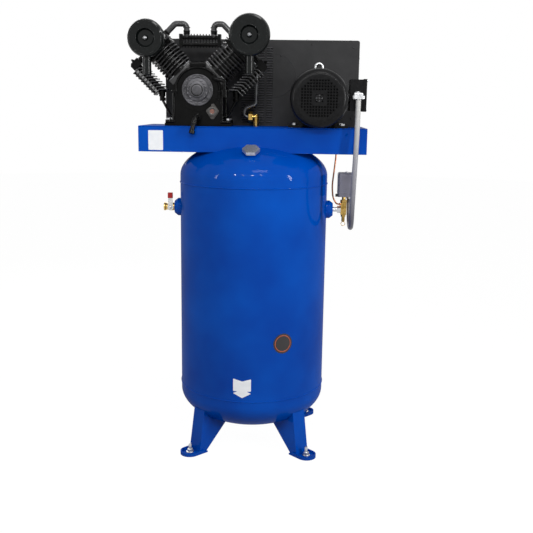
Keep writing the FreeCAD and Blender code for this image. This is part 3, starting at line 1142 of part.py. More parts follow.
SAFETY = (MANIFOLD_X, "0", MANIFOLD_LOW)
safety_body = fuse("safety_body_stock", hexagon("safety_hex", "8.5", "9", SAFETY, "-Z"),
                   cylinder("safety_barrel", "7", "27", SAFETY, "-Z"),
                   cylinder("safety_thread", "5", "12", (MANIFOLD_X, "0", f"{MANIFOLD_LOW} - 1")))
safety_bore = cylinder("safety_bore", "1.5 + running_fit", "60", (MANIFOLD_X, "0", f"{MANIFOLD_LOW} - 30"))
node("safety_valve_body", cut("safety_valve_body", safety_body, safety_bore))
pull_stem = cylinder("pull_stem", "1.5", "35", (MANIFOLD_X, "0", f"{MANIFOLD_LOW} + 4"), "-Z")
pull_cap = cylinder("pull_cap", "6", "3", (MANIFOLD_X, "0", f"{MANIFOLD_LOW} - 28"), "-Z")
pull_loop = sized("Part::Torus", "pull_loop", (MANIFOLD_X, "0", f"{MANIFOLD_LOW} - 39"),
                  "Y", Radius1="8.5", Radius2="1.2")
node("safety_valve_pull", fuse("safety_valve_pull", pull_stem, pull_cap, pull_loop))


def unloader_shape():
    """The copper line from the check valve, under the deck and down the tank's side to the manifold."""
    x, y, high = value("discharge_x + valve_flats"), value("discharge_y"), value(DECK_UNDER) - 22
    low, face = value("port_height"), value(f"{MANIFOLD_X} - manifold_width / 2")
    side = value("tank_radius")
    points = [Vector(x, y, high), Vector(side + 25, 20, high), Vector(side + 36, 5, high - 72),
              Vector(side + 28, 0, high - 147), Vector(side + 21, 0, high - 214), Vector(side + 26, 0, low + 49),
              Vector(side + 41, 0, low + 23), Vector(face, 0, low + 22)]
    rod = tube(points, value("copper_radius"))[0]
    nut = Part.makeCylinder(7, 9, points[0], AXES["X"])
    end = Part.makeCylinder(5.5, 6, points[-1], AXES["-X"])
    return rod.multiFuse([nut, end]).removeSplitter()


node("unloader_tube", cut("unloader_tube", shaped("unloader_stock", unloader_shape()), NODES["discharge_elbow"],
                          NODES["switch_manifold"]))

# The flexible conduit hangs from the terminal box's connector, loops under and rises into the switch's gland.
GLAND = Vector(value(SWITCH_X) + 15, 21, value(SWITCH_LOW) - 11)
CONDUIT = [Vector(409, -182, 1452), Vector(409, -187, 1385), Vector(407, -194, 1290), Vector(403, -200, 1190),
           Vector(GLAND.x, -202, 1100), Vector(GLAND.x - 2, -198, 1021.6), Vector(GLAND.x - 1, -173.6, 974.7),
           Vector(GLAND.x, -130.3, 944.4), Vector(GLAND.x, -77.9, 937.5), Vector(GLAND.x, -28.2, 955.5),
           Vector(GLAND.x, 7.5, 994.5), GLAND]
conduit, conduit_path, conduit_radii = tube(CONDUIT, value("conduit_radius"))
node("power_conduit", shaped("power_conduit", conduit))


def connector_shapes():
    """The angle connector on the terminal box's front, with its clamp ears, and the gland under the switch."""
    top, radius = CONDUIT[0], value("conduit_radius")
    face = value("motor_box_y - motor_box_depth / 2")
    body = Part.makeBox(2 * radius + 14, 2 * radius + 10, 24, Vector(top.x - radius - 7, top.y - radius - 5, top.z))
    body = body.makeFillet(6, [edge for edge in body.Edges if edge.BoundBox.ZMin > top.z + 23.9])
    throat = Part.makeCylinder(radius + 3, face - top.y, Vector(top.x, top.y, top.z + 12), AXES["Y"])
    nut = Part.makeCylinder(radius + 7, 6, Vector(top.x, face - 6, top.z + 12), AXES["Y"])
    ears = [Part.makeCylinder(5, 12, Vector(top.x + side * (radius + 9), top.y, top.z + 1)) for side in (-1, 1)]
    low = Part.makeCylinder(radius + 3.5, value(SWITCH_LOW) - GLAND.z, GLAND)
    return body.multiFuse([throat, nut] + ears).removeSplitter(), low


upper_connector, lower_gland = connector_shapes()
node("conduit_connectors", shaped("conduit_connectors", Part.makeCompound([upper_connector.cut(conduit),
                                                                           lower_gland.cut(conduit)])))


# ---------------------------------------------------------------- left port: outlet ball valve
VALVE = "(tank_radius + boss_reach)"
ball_x = f"-({VALVE} + 0.35 * valve_length)"
valve_stock = turned("valve_stock", [
    ("port_bore - 3", "-22"), ("port_bore", "-22"), ("port_bore", "0"), ("valve_radius", "0"),
    ("valve_radius + 2", "0.2 * valve_length"), ("valve_radius + 2", "0.5 * valve_length"),
    ("valve_radius - 1", "0.62 * valve_length"), ("valve_radius - 1", "0.8 * valve_length"),
    ("valve_radius + 2", "0.86 * valve_length"), ("valve_radius + 2", "valve_length"), ("port_bore - 3", "valve_length")],
    (f"-{VALVE}", "0", "port_height"), "-X")
valve_bonnet = cylinder("valve_bonnet", "8", "valve_radius + 7", (ball_x, "0", "port_height"), "-Y")
valve_body = cut("outlet_valve_body", fuse("valve_set", valve_stock, valve_bonnet),
                 sized("Part::Sphere", "valve_seat", (ball_x, "0", "port_height"),
                       "Z", Radius="ball_radius + running_fit"),
                 cylinder("valve_through", "port_bore - 3", "valve_length + 30",
                          (f"-{VALVE} + 25", "0", "port_height"), "-X"),
                 cylinder("valve_socket", "socket_bore", "socket_depth + 1",
                          (f"-({VALVE} + valve_length - socket_depth)", "0", "port_height"), "-X"),
                 cylinder("valve_stem_bore", "4 + running_fit", "40", (ball_x, "0", "port_height"), "-Y"))
node("outlet_valve_body", valve_body)
ball = cut("valve_ball", sized("Part::Sphere", "ball_stock", (ball_x, "0", "port_height"),
                               "Z", Radius="ball_radius"),
           cylinder("ball_bore", "port_bore - 3", "4 * ball_radius",
                    (ball_x, "0", "port_height - 2 * ball_radius")))
stem_start = "-ball_radius + 2"
stem = cylinder("valve_stem", "4", "valve_radius + 19 - ball_radius", (ball_x, stem_start, "port_height"), "-Y")
node("outlet_valve_ball", fuse("outlet_valve_ball", ball, stem))


def lever_shape():
    """A flat handle on the stem: a round hub, a tapering blade and the stem's nut."""
    x, low = value(ball_x), value("port_height")
    front, sheet_, long = -value("valve_radius + 11"), value("lever_sheet"), value("lever_length")
    blade = Part.Face(Part.makePolygon([Vector(x - 11, front, low), Vector(x + 11, front, low),
                                        Vector(x + 8, front, low + long - 4), Vector(x - 8, front, low + long - 4),
                                        Vector(x - 11, front, low)])).extrude(Vector(0, -sheet_, 0))
    hub = Part.makeCylinder(12.5, sheet_, Vector(x, front, low), AXES["-Y"])
    whole = blade.fuse(hub)
    return whole.cut(Part.makeCylinder(4, 20, Vector(x, front + 5, low), AXES["-Y"]))


def grip_shape():
    """A dipped plastic sleeve over the blade's end."""
    x, low = value(ball_x), value("port_height")
    front, sheet_, long = -value("valve_radius + 11"), value("lever_sheet"), value("lever_length")
    sleeve = Part.makeBox(21, sheet_ + 5, 24, Vector(x - 10.5, front - sheet_ - 2.5, low + long - 20))
    sleeve = sleeve.makeFillet(2.2, sleeve.Edges)
    return sleeve.cut(lever_shape())


node("outlet_valve_lever", shaped("outlet_valve_lever", lever_shape()))
node("outlet_valve_grip", shaped("outlet_valve_grip", grip_shape()))


# ---------------------------------------------------------------- checks and export
doc.recompute()
failed = [item.Name for item in doc.Objects if "Invalid" in item.State or "Error" in item.State]
assert not failed, "not built: " + ", ".join(failed)
for name, piece in NODES.items():
    assert not piece.Shape.isNull() and piece.Shape.isValid(), name + " has a bad shape"
    assert piece.Shape.Solids, name + " has no solid"

swept = math.pi * value("conduit_radius") ** 2 * conduit_path.Length
print("conduit bend radii, mm:", [round(radius) for radius in conduit_radii])
print(f"conduit volume {conduit.Volume:.0f}, section times length {swept:.0f}, length {conduit_path.Length:.0f} mm")

os.makedirs("parts", exist_ok=True)
for name, piece in NODES.items():
    piece.Shape.exportStep(os.path.join("parts", name + ".step"))
print(len(NODES), "sub-parts written")
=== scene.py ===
"""Vertical tank compressor: a blue enamelled air receiver on four legs, with a V-twin pump, a belt guard and
a motor on its deck.  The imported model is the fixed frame, and each section dresses one piece or group of
pieces."""
import bpy
import bmesh
import math
from mathutils import Matrix, Vector


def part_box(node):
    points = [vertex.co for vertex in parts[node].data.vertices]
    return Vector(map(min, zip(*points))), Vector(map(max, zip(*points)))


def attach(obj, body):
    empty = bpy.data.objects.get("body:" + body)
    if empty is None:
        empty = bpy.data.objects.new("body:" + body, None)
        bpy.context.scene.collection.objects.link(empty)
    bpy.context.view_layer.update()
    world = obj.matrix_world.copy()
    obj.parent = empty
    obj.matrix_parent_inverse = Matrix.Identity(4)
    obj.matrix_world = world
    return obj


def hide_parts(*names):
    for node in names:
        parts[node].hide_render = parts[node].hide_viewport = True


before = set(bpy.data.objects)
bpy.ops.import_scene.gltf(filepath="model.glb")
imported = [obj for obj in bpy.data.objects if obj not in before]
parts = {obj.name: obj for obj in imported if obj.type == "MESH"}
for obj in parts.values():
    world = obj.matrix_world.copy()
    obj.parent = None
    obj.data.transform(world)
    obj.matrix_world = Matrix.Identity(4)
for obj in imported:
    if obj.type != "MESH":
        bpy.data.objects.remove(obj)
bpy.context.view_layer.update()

# ---- Power conduit
# A grey PVC-jacketed flexible conduit of 20 mm, held in a clamp connector on the motor's terminal box.
# It hangs down the front of the deck's end and loops back up under the switch.
MM = 0.001


def linear(code):
    """A colour written as an sRGB hex value, as linear numbers."""
    parts = [int(code[place:place + 2], 16) / 255 for place in (1, 3, 5)]
    light = [part / 12.92 if part <= 0.04045 else ((part + 0.055) / 1.055) ** 2.4 for part in parts]
    return (*light, 1.0)


def add(tree, kind, settings, links=()):
    """One shader node: settings by socket or property name, a ramp's stops as (place, hex colour), and links as
    (socket of this node, what feeds it), where a node stands for its first output."""
    made = tree.nodes.new(kind)
    for key, setting in settings.items():
        if key == "stops":
            stops = made.color_ramp.elements
            for number, (position, code) in enumerate(setting):
                stop = stops[number] if number < 2 else stops.new(position)
                stop.position, stop.color = position, linear(code)
        elif isinstance(key, int) or key in made.inputs:
            made.inputs[key].default_value = setting
        else:
            setattr(made, key, setting)
    for socket, source in links:
        tree.links.new(getattr(source, "outputs", [source])[0], made.inputs[socket])
    return made


def blank(name):
    """A material with only its output node, and the Object coordinates its patterns are laid on."""
    material = bpy.data.materials.new(name)
    material.use_nodes = True
    tree = material.node_tree
    tree.nodes.clear()
    output = tree.nodes.new("ShaderNodeOutputMaterial")
    place = tree.nodes.new("ShaderNodeTexCoord")
    return material, tree, output, place.outputs["Object"]


def pvc_jacket():
    """Extruded PVC: satin, with painted light: paler towards the top where light falls on it and darker towards
    the loop at the bottom.
    """
    material, tree, output, place = blank("grey_pvc_painted_light")
    split = add(tree, "ShaderNodeSeparateXYZ", {}, [("Vector", place)])
    # The ramp up the conduit's height is painted light: pale at the top, dark at the bottom.
    height = add(tree, "ShaderNodeMapRange", {"From Min": 0.96, "From Max": 1.44},
                 [("Value", split.outputs["Z"])])
    ramp = add(tree, "ShaderNodeValToRGB", {"stops": [(0, "#57565f"), (1, "#b9b9b6"), (0.55, "#8c8c93")]},
               [("Fac", height)])
    scuff = add(tree, "ShaderNodeTexNoise", {"Scale": 240.0, "Detail": 4.0}, [("Vector", place)])
    rough = add(tree, "ShaderNodeMapRange", {"To Min": 0.34, "To Max": 0.58}, [("Value", scuff)])
    bump = add(tree, "ShaderNodeBump", {"Strength": 0.25, "Distance": 0.0003}, [("Height", scuff)])
    shader = add(tree, "ShaderNodeBsdfPrincipled", {"IOR": 1.53}, [
        ("Base Color", ramp), ("Roughness", rough), ("Normal", bump)])
    tree.links.new(shader.outputs["BSDF"], output.inputs["Surface"])
    return material


CONDUIT_RADIUS = 10 * MM
CONDUIT_POINTS = [(409, -182, 1452), (409, -187, 1385), (407, -194, 1290), (403, -200, 1190), (400, -202, 1100),
                  (398, -198, 1021.6), (399, -173.6, 974.7), (400, -130.3, 944.4), (400, -77.9, 937.5),
                  (400, -28.2, 955.5), (400, 7.5, 994.5), (400, 21, 1046)]
line = bpy.data.curves.new("power_conduit_line", "CURVE")
line.dimensions = "3D"
line.bevel_depth = CONDUIT_RADIUS
line.bevel_resolution = 8
line.resolution_u = 24
line.use_fill_caps = True
spline = line.splines.new("NURBS")
spline.points.add(len(CONDUIT_POINTS) - 1)
for hold, spot in zip(spline.points, CONDUIT_POINTS):
    hold.co = (spot[0] * MM, spot[1] * MM, spot[2] * MM, 1.0)
spline.order_u = 3
spline.use_endpoint_u = True
conduit = bpy.data.objects.new("power_conduit_jacket", line)
bpy.context.collection.objects.link(conduit)
line.materials.append(pvc_jacket())
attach(conduit, "frame")
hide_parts("power_conduit")

# ---- Camera, floor and studio light
# A pale studio: a matt floor that runs out to white, two tall softboxes at the sides, one overhead, one
# behind, and a row of small ceiling lamps whose glints cross the tank's shoulder.
VIEW_YAW, VIEW_PITCH, VIEW_ROLL = math.radians(2.07), math.radians(11.43), math.radians(0.8)
CAMERA_PLACE = (0.177, -3.303, 1.419)
FOCAL_LENGTH, SENSOR_WIDTH = 53.426, 36
FLOOR_RADIUS = 14
LAMP_AIM = Vector((0, 0, 0.95))
ahead = Vector((-math.sin(VIEW_YAW) * math.cos(VIEW_PITCH), math.cos(VIEW_YAW) * math.cos(VIEW_PITCH),
                -math.sin(VIEW_PITCH)))
level = Vector((math.cos(VIEW_YAW), math.sin(VIEW_YAW), 0))
upward = level.cross(ahead)
right = level * math.cos(VIEW_ROLL) + upward * math.sin(VIEW_ROLL)
upward = upward * math.cos(VIEW_ROLL) - level * math.sin(VIEW_ROLL)
lens = bpy.data.cameras.new("studio_camera")
lens.lens, lens.sensor_width = FOCAL_LENGTH, SENSOR_WIDTH
camera = bpy.data.objects.new("studio_camera", lens)
bpy.context.collection.objects.link(camera)
stand = Matrix((right, upward, -ahead)).transposed().to_4x4()
stand.translation = CAMERA_PLACE
camera.matrix_world = stand
bpy.context.scene.camera = camera
bpy.context.scene.view_settings.view_transform = "Standard"


def seen(tree):
    """1 where a ray comes from the camera, a shiny surface or glass, else 0, as for light on the object."""
    path = add(tree, "ShaderNodeLightPath", {})
    clear = add(tree, "ShaderNodeMath", {"operation": "MAXIMUM"}, [
        (0, path.outputs["Is Camera Ray"]), (1, path.outputs["Is Transmission Ray"])])
    return add(tree, "ShaderNodeMath", {"operation": "MAXIMUM"}, [
        (0, clear), (1, path.outputs["Is Glossy Ray"])])


bpy.ops.mesh.primitive_circle_add(vertices=96, radius=FLOOR_RADIUS, fill_type="NGON", location=(0, 0, 0))
floor = bpy.context.object
floor.name = "studio_floor"
paper, tree, output, place = blank("matt_white_floor")
matt = add(tree, "ShaderNodeBsdfDiffuse", {"Color": linear("#b9b9b9")})
glow = add(tree, "ShaderNodeEmission", {"Color": (1, 1, 1, 1), "Strength": 1.06})
share = add(tree, "ShaderNodeMath", {"operation": "MULTIPLY", 1: 0.93}, [(0, seen(tree))])
both = add(tree, "ShaderNodeMixShader", {}, [(0, share), (1, matt), (2, glow)])
tree.links.new(both.outputs[0], output.inputs["Surface"])
floor.data.materials.append(paper)

world = bpy.data.worlds.new("studio_world")
bpy.context.scene.world = world
world.use_nodes = True
tree = world.node_tree
tree.nodes.clear()
dim = add(tree, "ShaderNodeBackground", {"Color": (1, 1, 1, 1), "Strength": 0.14})
white = add(tree, "ShaderNodeBackground", {"Color": (1, 1, 1, 1), "Strength": 1.0})
both = add(tree, "ShaderNodeMixShader", {}, [(0, seen(tree)), (1, dim), (2, white)])
sky = tree.nodes.new("ShaderNodeOutputWorld")
tree.links.new(both.outputs[0], sky.inputs["Surface"])


def softbox(name, place, size, power):
    """A rectangular softbox that faces the middle of the object."""
    lamp = bpy.data.lights.new(name, "AREA")
    lamp.shape, lamp.size, lamp.size_y, lamp.energy = "RECTANGLE", size[0], size[1], power
    holder = bpy.data.objects.new(name, lamp)
    bpy.context.collection.objects.link(holder)
    holder.location = place
    holder.rotation_euler = (LAMP_AIM - Vector(place)).to_track_quat("-Z", "Y").to_euler()


softbox("left_softbox", (-2.8, -2.0, 1.9), (0.2, 1.4), 18)
softbox("right_softbox", (2.7, -1.7, 1.7), (0.25, 1.6), 50)
softbox("top_softbox", (0.5, -1.9, 3.5), (1.0, 0.5), 18)
softbox("back_softbox", (-1.4, 3.2, 2.4), (1.2, 1.4), 36)
LAMP_SPACING = 0.8
for number in range(5):
    softbox(f"ceiling_lamp_{number}", ((number - 2) * LAMP_SPACING, -3.2, 3.0), (0.2, 0.14), 13)


def blue_enamel():
    """Baked polyester enamel: a hard gloss with faint orange peel, slightly deeper where it pools."""
    material, tree, output, place = blank("blue_baked_enamel")
    cloud = add(tree, "ShaderNodeTexNoise", {"Scale": 3.2, "Detail": 3.0}, [("Vector", place)])
    ramp = add(tree, "ShaderNodeValToRGB", {"stops": [(0.3, "#003a98"), (0.7, "#004eb4")]}, [("Fac", cloud)])
    dust = add(tree, "ShaderNodeTexNoise", {"Scale": 60.0, "Detail": 6.0, "Roughness": 0.7},
               [("Vector", place)])
    rough = add(tree, "ShaderNodeMapRange", {"To Min": 0.16, "To Max": 0.34}, [("Value", dust)])
    peel = add(tree, "ShaderNodeTexNoise", {"Scale": 260.0, "Detail": 1.0}, [("Vector", place)])
    roll = add(tree, "ShaderNodeTexNoise", {"Scale": 14.0, "Detail": 1.0}, [("Vector", place)])
    waves = add(tree, "ShaderNodeBump", {"Strength": 0.16, "Distance": 0.0012}, [("Height", roll)])
    bump = add(tree, "ShaderNodeBump", {"Strength": 0.12, "Distance": 0.0003}, [
        ("Height", peel), ("Normal", waves)])
    gloss = {"Specular IOR Level": 0.0, "Coat Weight": 0.13, "Coat Roughness": 0.03}
    shader = add(tree, "ShaderNodeBsdfPrincipled", gloss, [
        ("Base Color", ramp), ("Roughness", rough), ("Normal", bump)])
    tree.links.new(shader.outputs["BSDF"], output.inputs["Surface"])
    return material


def dress(material, *names):
    """Give carried-over nodes their finish."""
    for name in names:
        slots = parts[name].data.materials
        slots.clear()
        slots.append(material)


enamel = blue_enamel()
dress(enamel, "tank_shell", "tank_top_head", "tank_bottom_head", "tank_port_bosses", "platform",
      "leg_rear_right", "leg_rear_left", "leg_front_left", "leg_front_right")

# ---- Tank plugs and floor anchors
# Zinc-plated steel: the big inspection plug on the crown, the drain plug, and the studs, washers and nuts that
# hold the feet to the floor.


def zinc_plate():
    """Bright zinc plate: pale, slightly mottled and soft in its reflections."""
    material, tree, output, place = blank("bright_zinc_plate")
    bloom = add(tree, "ShaderNodeTexNoise", {"Scale": 180.0, "Detail": 5.0, "Roughness": 0.65},
                [("Vector", place)])
    ramp = add(tree, "ShaderNodeValToRGB", {"stops": [(0.35, "#a9aaac"), (0.65, "#d9dadb")]}, [("Fac", bloom)])
    rough = add(tree, "ShaderNodeMapRange", {"To Min": 0.28, "To Max": 0.5}, [("Value", bloom)])
    bump = add(tree, "ShaderNodeBump", {"Strength": 0.2, "Distance": 0.0002}, [("Height", bloom)])
    shader = add(tree, "ShaderNodeBsdfPrincipled", {"Metallic": 1.0}, [
        ("Base Color", ramp), ("Roughness", rough), ("Normal", bump)])
    tree.links.new(shader.outputs["BSDF"], output.inputs["Surface"])
    return material


def begin():
    """Object mode with nothing selected, ready for a new primitive."""
    if bpy.context.mode != "OBJECT":
        bpy.ops.object.mode_set(mode="OBJECT")
    bpy.ops.object.select_all(action="DESELECT")


AXIS_TURNS = {"Z": (0, 0, 0), "-Y": (math.radians(90), 0, 0), "Y": (math.radians(-90), 0, 0),
              "X": (0, math.radians(90), 0), "-X": (0, math.radians(-90), 0)}


def chosen(piece, test):
    """Select only the faces that pass the test, in edit mode."""
    bpy.ops.object.mode_set(mode="EDIT")
    bpy.ops.mesh.select_mode(type="FACE")
    mesh = bmesh.from_edit_mesh(piece.data)
    for face in mesh.faces:
        face.select_set(bool(test(face)))
    bmesh.update_edit_mesh(piece.data)


def end_face(piece):
    """Select the face at the far end of the piece's own Z."""
    high = max(corner.co.z for corner in piece.data.vertices)
    chosen(piece, lambda face: face.normal.z > 0.9 and face.calc_center_median().z > high - 1e-5)


def settled(name, material, body="frame", smooth=35):
    """Apply the active piece's modifiers and place, name and finish it, and hang it on its body."""
    if bpy.context.mode != "OBJECT":
        bpy.ops.object.mode_set(mode="OBJECT")
    piece = bpy.context.object
    for modifier in list(piece.modifiers):
        bpy.ops.object.modifier_apply(modifier=modifier.name)
    bpy.ops.object.transform_apply(location=True, rotation=True, scale=True)
    bpy.ops.object.shade_smooth_by_angle(angle=math.radians(smooth))
    piece.name = piece.data.name = name
    piece.data.materials.clear()
    piece.data.materials.append(material)
    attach(piece, body)
    return piece


def hex_head(at, across, high, axis="Z", stud=None):
    """A hexagon nut or bolt head, chamfered at its outer face, with its stud's end standing out of it."""
    begin()
    bpy.ops.mesh.primitive_cylinder_add(vertices=6, radius=across / math.sqrt(3), depth=high,
                                        location=(0, 0, 0))
    piece = bpy.context.object
    piece.data.transform(Matrix.Translation((0, 0, high / 2)))
    end_face(piece)
    bpy.ops.mesh.inset(thickness=across * 0.07, depth=high * 0.12)
    if stud:
        bpy.ops.mesh.inset(thickness=across * 0.42 - stud[0], depth=0)
        bpy.ops.mesh.extrude_region_move(TRANSFORM_OT_translate={"value": (0, 0, stud[1])})
        bpy.ops.mesh.inset(thickness=stud[0] * 0.2, depth=stud[0] * 0.15)
    bpy.ops.object.mode_set(mode="OBJECT")
    piece.location, piece.rotation_euler = at, AXIS_TURNS[axis]
    bpy.ops.object.transform_apply(location=True, rotation=True, scale=True)
    return piece


def gathered(name, pieces, material, body="frame", smooth=35):
    """Join like pieces into one and settle it."""
    begin()
    for piece in pieces:
        piece.select_set(True)
    bpy.context.view_layer.objects.active = pieces[0]
    if len(pieces) > 1:
        bpy.ops.object.join()
    return settled(name, material, body, smooth)


def ring_bead(place, radius, thick, axis="Y", segments=96, around=10):
    """A round bead laid in a ring about an axis."""
    begin()
    bpy.ops.mesh.primitive_torus_add(major_radius=radius, minor_radius=thick, major_segments=segments,
                                     minor_segments=around, location=place, rotation=AXIS_TURNS[axis])
    bpy.ops.object.transform_apply(location=True, rotation=True, scale=True)
    return bpy.context.object


def dome(place, radius, stretch=(1, 1, 1), segments=20, rings=12):
    """A ball, drawn out or flattened along the axes."""
    begin()
    bpy.ops.mesh.primitive_uv_sphere_add(segments=segments, ring_count=rings, radius=radius,
                                         location=(0, 0, 0))
    piece = bpy.context.object
    piece.scale, piece.location = stretch, place
    bpy.ops.object.transform_apply(location=True, rotation=True, scale=True)
    return piece


def rod(points, radius, rounded=0.0):
    """A round bar through the points, with its corners turned at the given bend radius."""
    begin()
    course = [Vector(spot) for spot in points]
    route = [course[0]]
    for before, here, after in zip(course, course[1:], course[2:]):
        one, two = (before - here).normalized(), (after - here).normalized()
        half = one.angle(two) / 2
        if not rounded or half > math.radians(88):
            route.append(here)
            continue
        back = rounded / math.tan(half)
        centre = here + (one + two).normalized() * (rounded / math.sin(half))
        first, last = here + one * back - centre, here + two * back - centre
        for step in range(9):
            route.append(centre + first.slerp(last, step / 8).normalized() * rounded)
    route.append(course[-1])
    bar = bpy.data.curves.new("bar", "CURVE")
    bar.dimensions, bar.bevel_depth, bar.bevel_resolution, bar.use_fill_caps = "3D", radius, 3, True
    run = bar.splines.new("POLY")
    run.points.add(len(route) - 1)
    for hold, spot in zip(run.points, route):
        hold.co = (*spot, 1.0)
    piece = bpy.data.objects.new("bar", bar)
    bpy.context.collection.objects.link(piece)
    piece.select_set(True)
    bpy.context.view_layer.objects.active = piece
    bpy.ops.object.convert(target="MESH")
    return bpy.context.object


def soft_block(place, size, edge):
    """A cast block with rounded edges."""
    begin()
    bpy.ops.mesh.primitive_cube_add(size=1, location=place)
    piece = bpy.context.object
    piece.scale = size
    bpy.ops.object.transform_apply(location=True, rotation=True, scale=True)
    bpy.ops.object.mode_set(mode="EDIT")
    bpy.ops.mesh.select_all(action="SELECT")
    bpy.ops.mesh.bevel(offset=edge, segments=3)
    bpy.ops.object.mode_set(mode="OBJECT")
    return piece


zinc = zinc_plate()
dress(zinc, "tank_plugs", "switch_nipple", "conduit_connectors", "outlet_valve_lever", "outlet_valve_ball")

FOOT_REACH = 241 * MM
PAD_TOP = 6 * MM
WASHER_SHEET = 3 * MM
anchors = []
for x in (-FOOT_REACH, FOOT_REACH):
    for y in (-FOOT_REACH, FOOT_REACH):
        anchors.append(hex_head((x, y, PAD_TOP + WASHER_SHEET), 22 * MM, 10 * MM, stud=(5.5 * MM, 22 * MM)))
        begin()
        bpy.ops.mesh.primitive_cylinder_add(vertices=40, radius=16 * MM, depth=WASHER_SHEET,
                                            location=(0, 0, 0))
        washer = bpy.context.object
        end_face(washer)
        bpy.ops.mesh.inset(thickness=1.5 * MM, depth=0.6 * MM)
        bpy.ops.object.mode_set(mode="OBJECT")
        washer.location = (x, y, PAD_TOP + WASHER_SHEET / 2)
        bpy.ops.object.transform_apply(location=True, rotation=True, scale=True)
        anchors.append(washer)
gathered("floor_anchor_nuts", anchors, zinc)

# ---- Plates and stickers
# Vinyl on the enamel: a blank white plate on the deck's face, a blank round badge with a copper-coloured ring
# and a blank white arrow plate low on the shell.


def vinyl(name, colour, shade):
    """Printed vinyl film: satin, a little uneven where it is pressed on by hand."""
    material, tree, output, place = blank(name)
    mottle = add(tree, "ShaderNodeTexNoise", {"Scale": 45.0, "Detail": 4.0}, [("Vector", place)])
    ramp = add(tree, "ShaderNodeValToRGB", {"stops": [(0.3, shade), (0.7, colour)]}, [("Fac", mottle)])
    bump = add(tree, "ShaderNodeBump", {"Strength": 0.15, "Distance": 0.0002}, [("Height", mottle)])
    shader = add(tree, "ShaderNodeBsdfPrincipled", {"Roughness": 0.42, "IOR": 1.5}, [
        ("Base Color", ramp), ("Normal", bump)])
    tree.links.new(shader.outputs["BSDF"], output.inputs["Surface"])
    return material


white_vinyl = vinyl("white_vinyl_film", "#eff1f4", "#e6e9ed")
black_vinyl = vinyl("black_vinyl_film", "#191416", "#120e10")
copper_vinyl = vinyl("copper_printed_vinyl", "#b4532f", "#9a4225")
TANK_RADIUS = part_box("tank_shell")[1][0]


FILM_THICKNESS = 0.4 * MM


def film(name, corners):
    """A film with rounded corners, cut to an outline on the plane y = 0 and facing the front."""
    begin()
    mesh = bpy.data.meshes.new(name)
    mesh.from_pydata([(x, 0, z) for x, z in corners], [], [list(range(len(corners)))])
    piece = bpy.data.objects.new(name, mesh)
    bpy.context.collection.objects.link(piece)
    piece.select_set(True)
    bpy.context.view_layer.objects.active = piece
    bpy.ops.object.mode_set(mode="EDIT")
    bpy.ops.mesh.select_mode(type="VERT")
    bpy.ops.mesh.select_all(action="SELECT")
    bpy.ops.mesh.bevel(offset=2.5 * MM, segments=3, affect="VERTICES")
    bpy.ops.mesh.select_mode(type="FACE")
    bpy.ops.mesh.select_all(action="SELECT")
    bpy.ops.mesh.normals_make_consistent(inside=False)
    bpy.ops.mesh.extrude_region_move(TRANSFORM_OT_translate={"value": (0, -FILM_THICKNESS, 0)})
    bpy.ops.mesh.select_all(action="SELECT")
    bpy.ops.mesh.normals_make_consistent(inside=False)
    bpy.ops.object.mode_set(mode="OBJECT")
    return piece


def round_shell(corners, lift, give=1.0):
    """Bend what lies near the plane y = 0 round the shell's front, at a lift above it."""
    for corner in corners:
        reach = TANK_RADIUS + lift - corner.co.y * give
        turn = corner.co.x / TANK_RADIUS
        corner.co.x, corner.co.y = reach * math.sin(turn), -reach * math.cos(turn)


def wrapped(piece):
    """Bend a flat film round the shell's front, in fine upright strips."""
    bpy.ops.object.mode_set(mode="EDIT")
    bpy.ops.mesh.select_all(action="SELECT")
    bpy.ops.mesh.quads_convert_to_tris()
    mesh = bmesh.from_edit_mesh(piece.data)
    start, stop = min(v.co.x for v in mesh.verts), max(v.co.x for v in mesh.verts)
    cuts = int((stop - start) / (6 * MM))
    for number in range(1, cuts):
        bmesh.ops.bisect_plane(mesh, geom=mesh.verts[:] + mesh.edges[:] + mesh.faces[:], dist=1e-6,
                               plane_co=(start + number * (stop - start) / cuts, 0, 0), plane_no=(1, 0, 0))
    round_shell(mesh.verts, 0.25 * MM)
    bmesh.update_edit_mesh(piece.data)
    bpy.ops.object.mode_set(mode="OBJECT")


deck_low, deck_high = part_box("platform")
# The deck's folds and cut edges are rounded by the paint.
edges = []
for height in (deck_high[2] - 1.6 * MM, deck_low[2] + 1.2 * MM):
    edges.append(rod([(deck_low[0] + 1 * MM, deck_low[1] + 1.4 * MM, height),
                      (deck_high[0] - 1 * MM, deck_low[1] + 1.4 * MM, height)], 1.9 * MM))
gathered("deck_front_edges", edges, enamel, smooth=60)
plate = film("deck_plate", [(-0.410, 1.245), (-0.352, 1.245), (-0.352, 1.322), (-0.410, 1.322)])
plate.data.transform(Matrix.Translation((0, deck_low[1] - 0.1 * MM, 0)))
settled("deck_blank_plate", white_vinyl)

ARROW = [(-59, 352), (-22, 342), (13, 352), (13, 300), (-4, 300), (13, 291), (-22, 272), (-59, 291), (-42, 300),
         (-59, 300)]
wrapped(film("arrow", [(x * MM, z * MM) for x, z in ARROW]))
settled("shell_arrow_plate", white_vinyl)

BADGE = (142 * MM, 494 * MM)
TEETH = 24
outline = []
for number in range(2 * TEETH):
    reach, turn = (43 - (number % 2) * 4) * MM, math.pi * number / TEETH
    outline.append((BADGE[0] + reach * math.cos(turn), BADGE[1] + reach * math.sin(turn)))
wrapped(film("badge", outline))
settled("shell_badge_disc", black_vinyl)
band = ring_bead((BADGE[0], 0, BADGE[1]), 33 * MM, 1.6 * MM, "-Y", 72, 6)
round_shell(band.data.vertices, 0.7 * MM, give=0.15)
settled("shell_badge_ring", copper_vinyl)
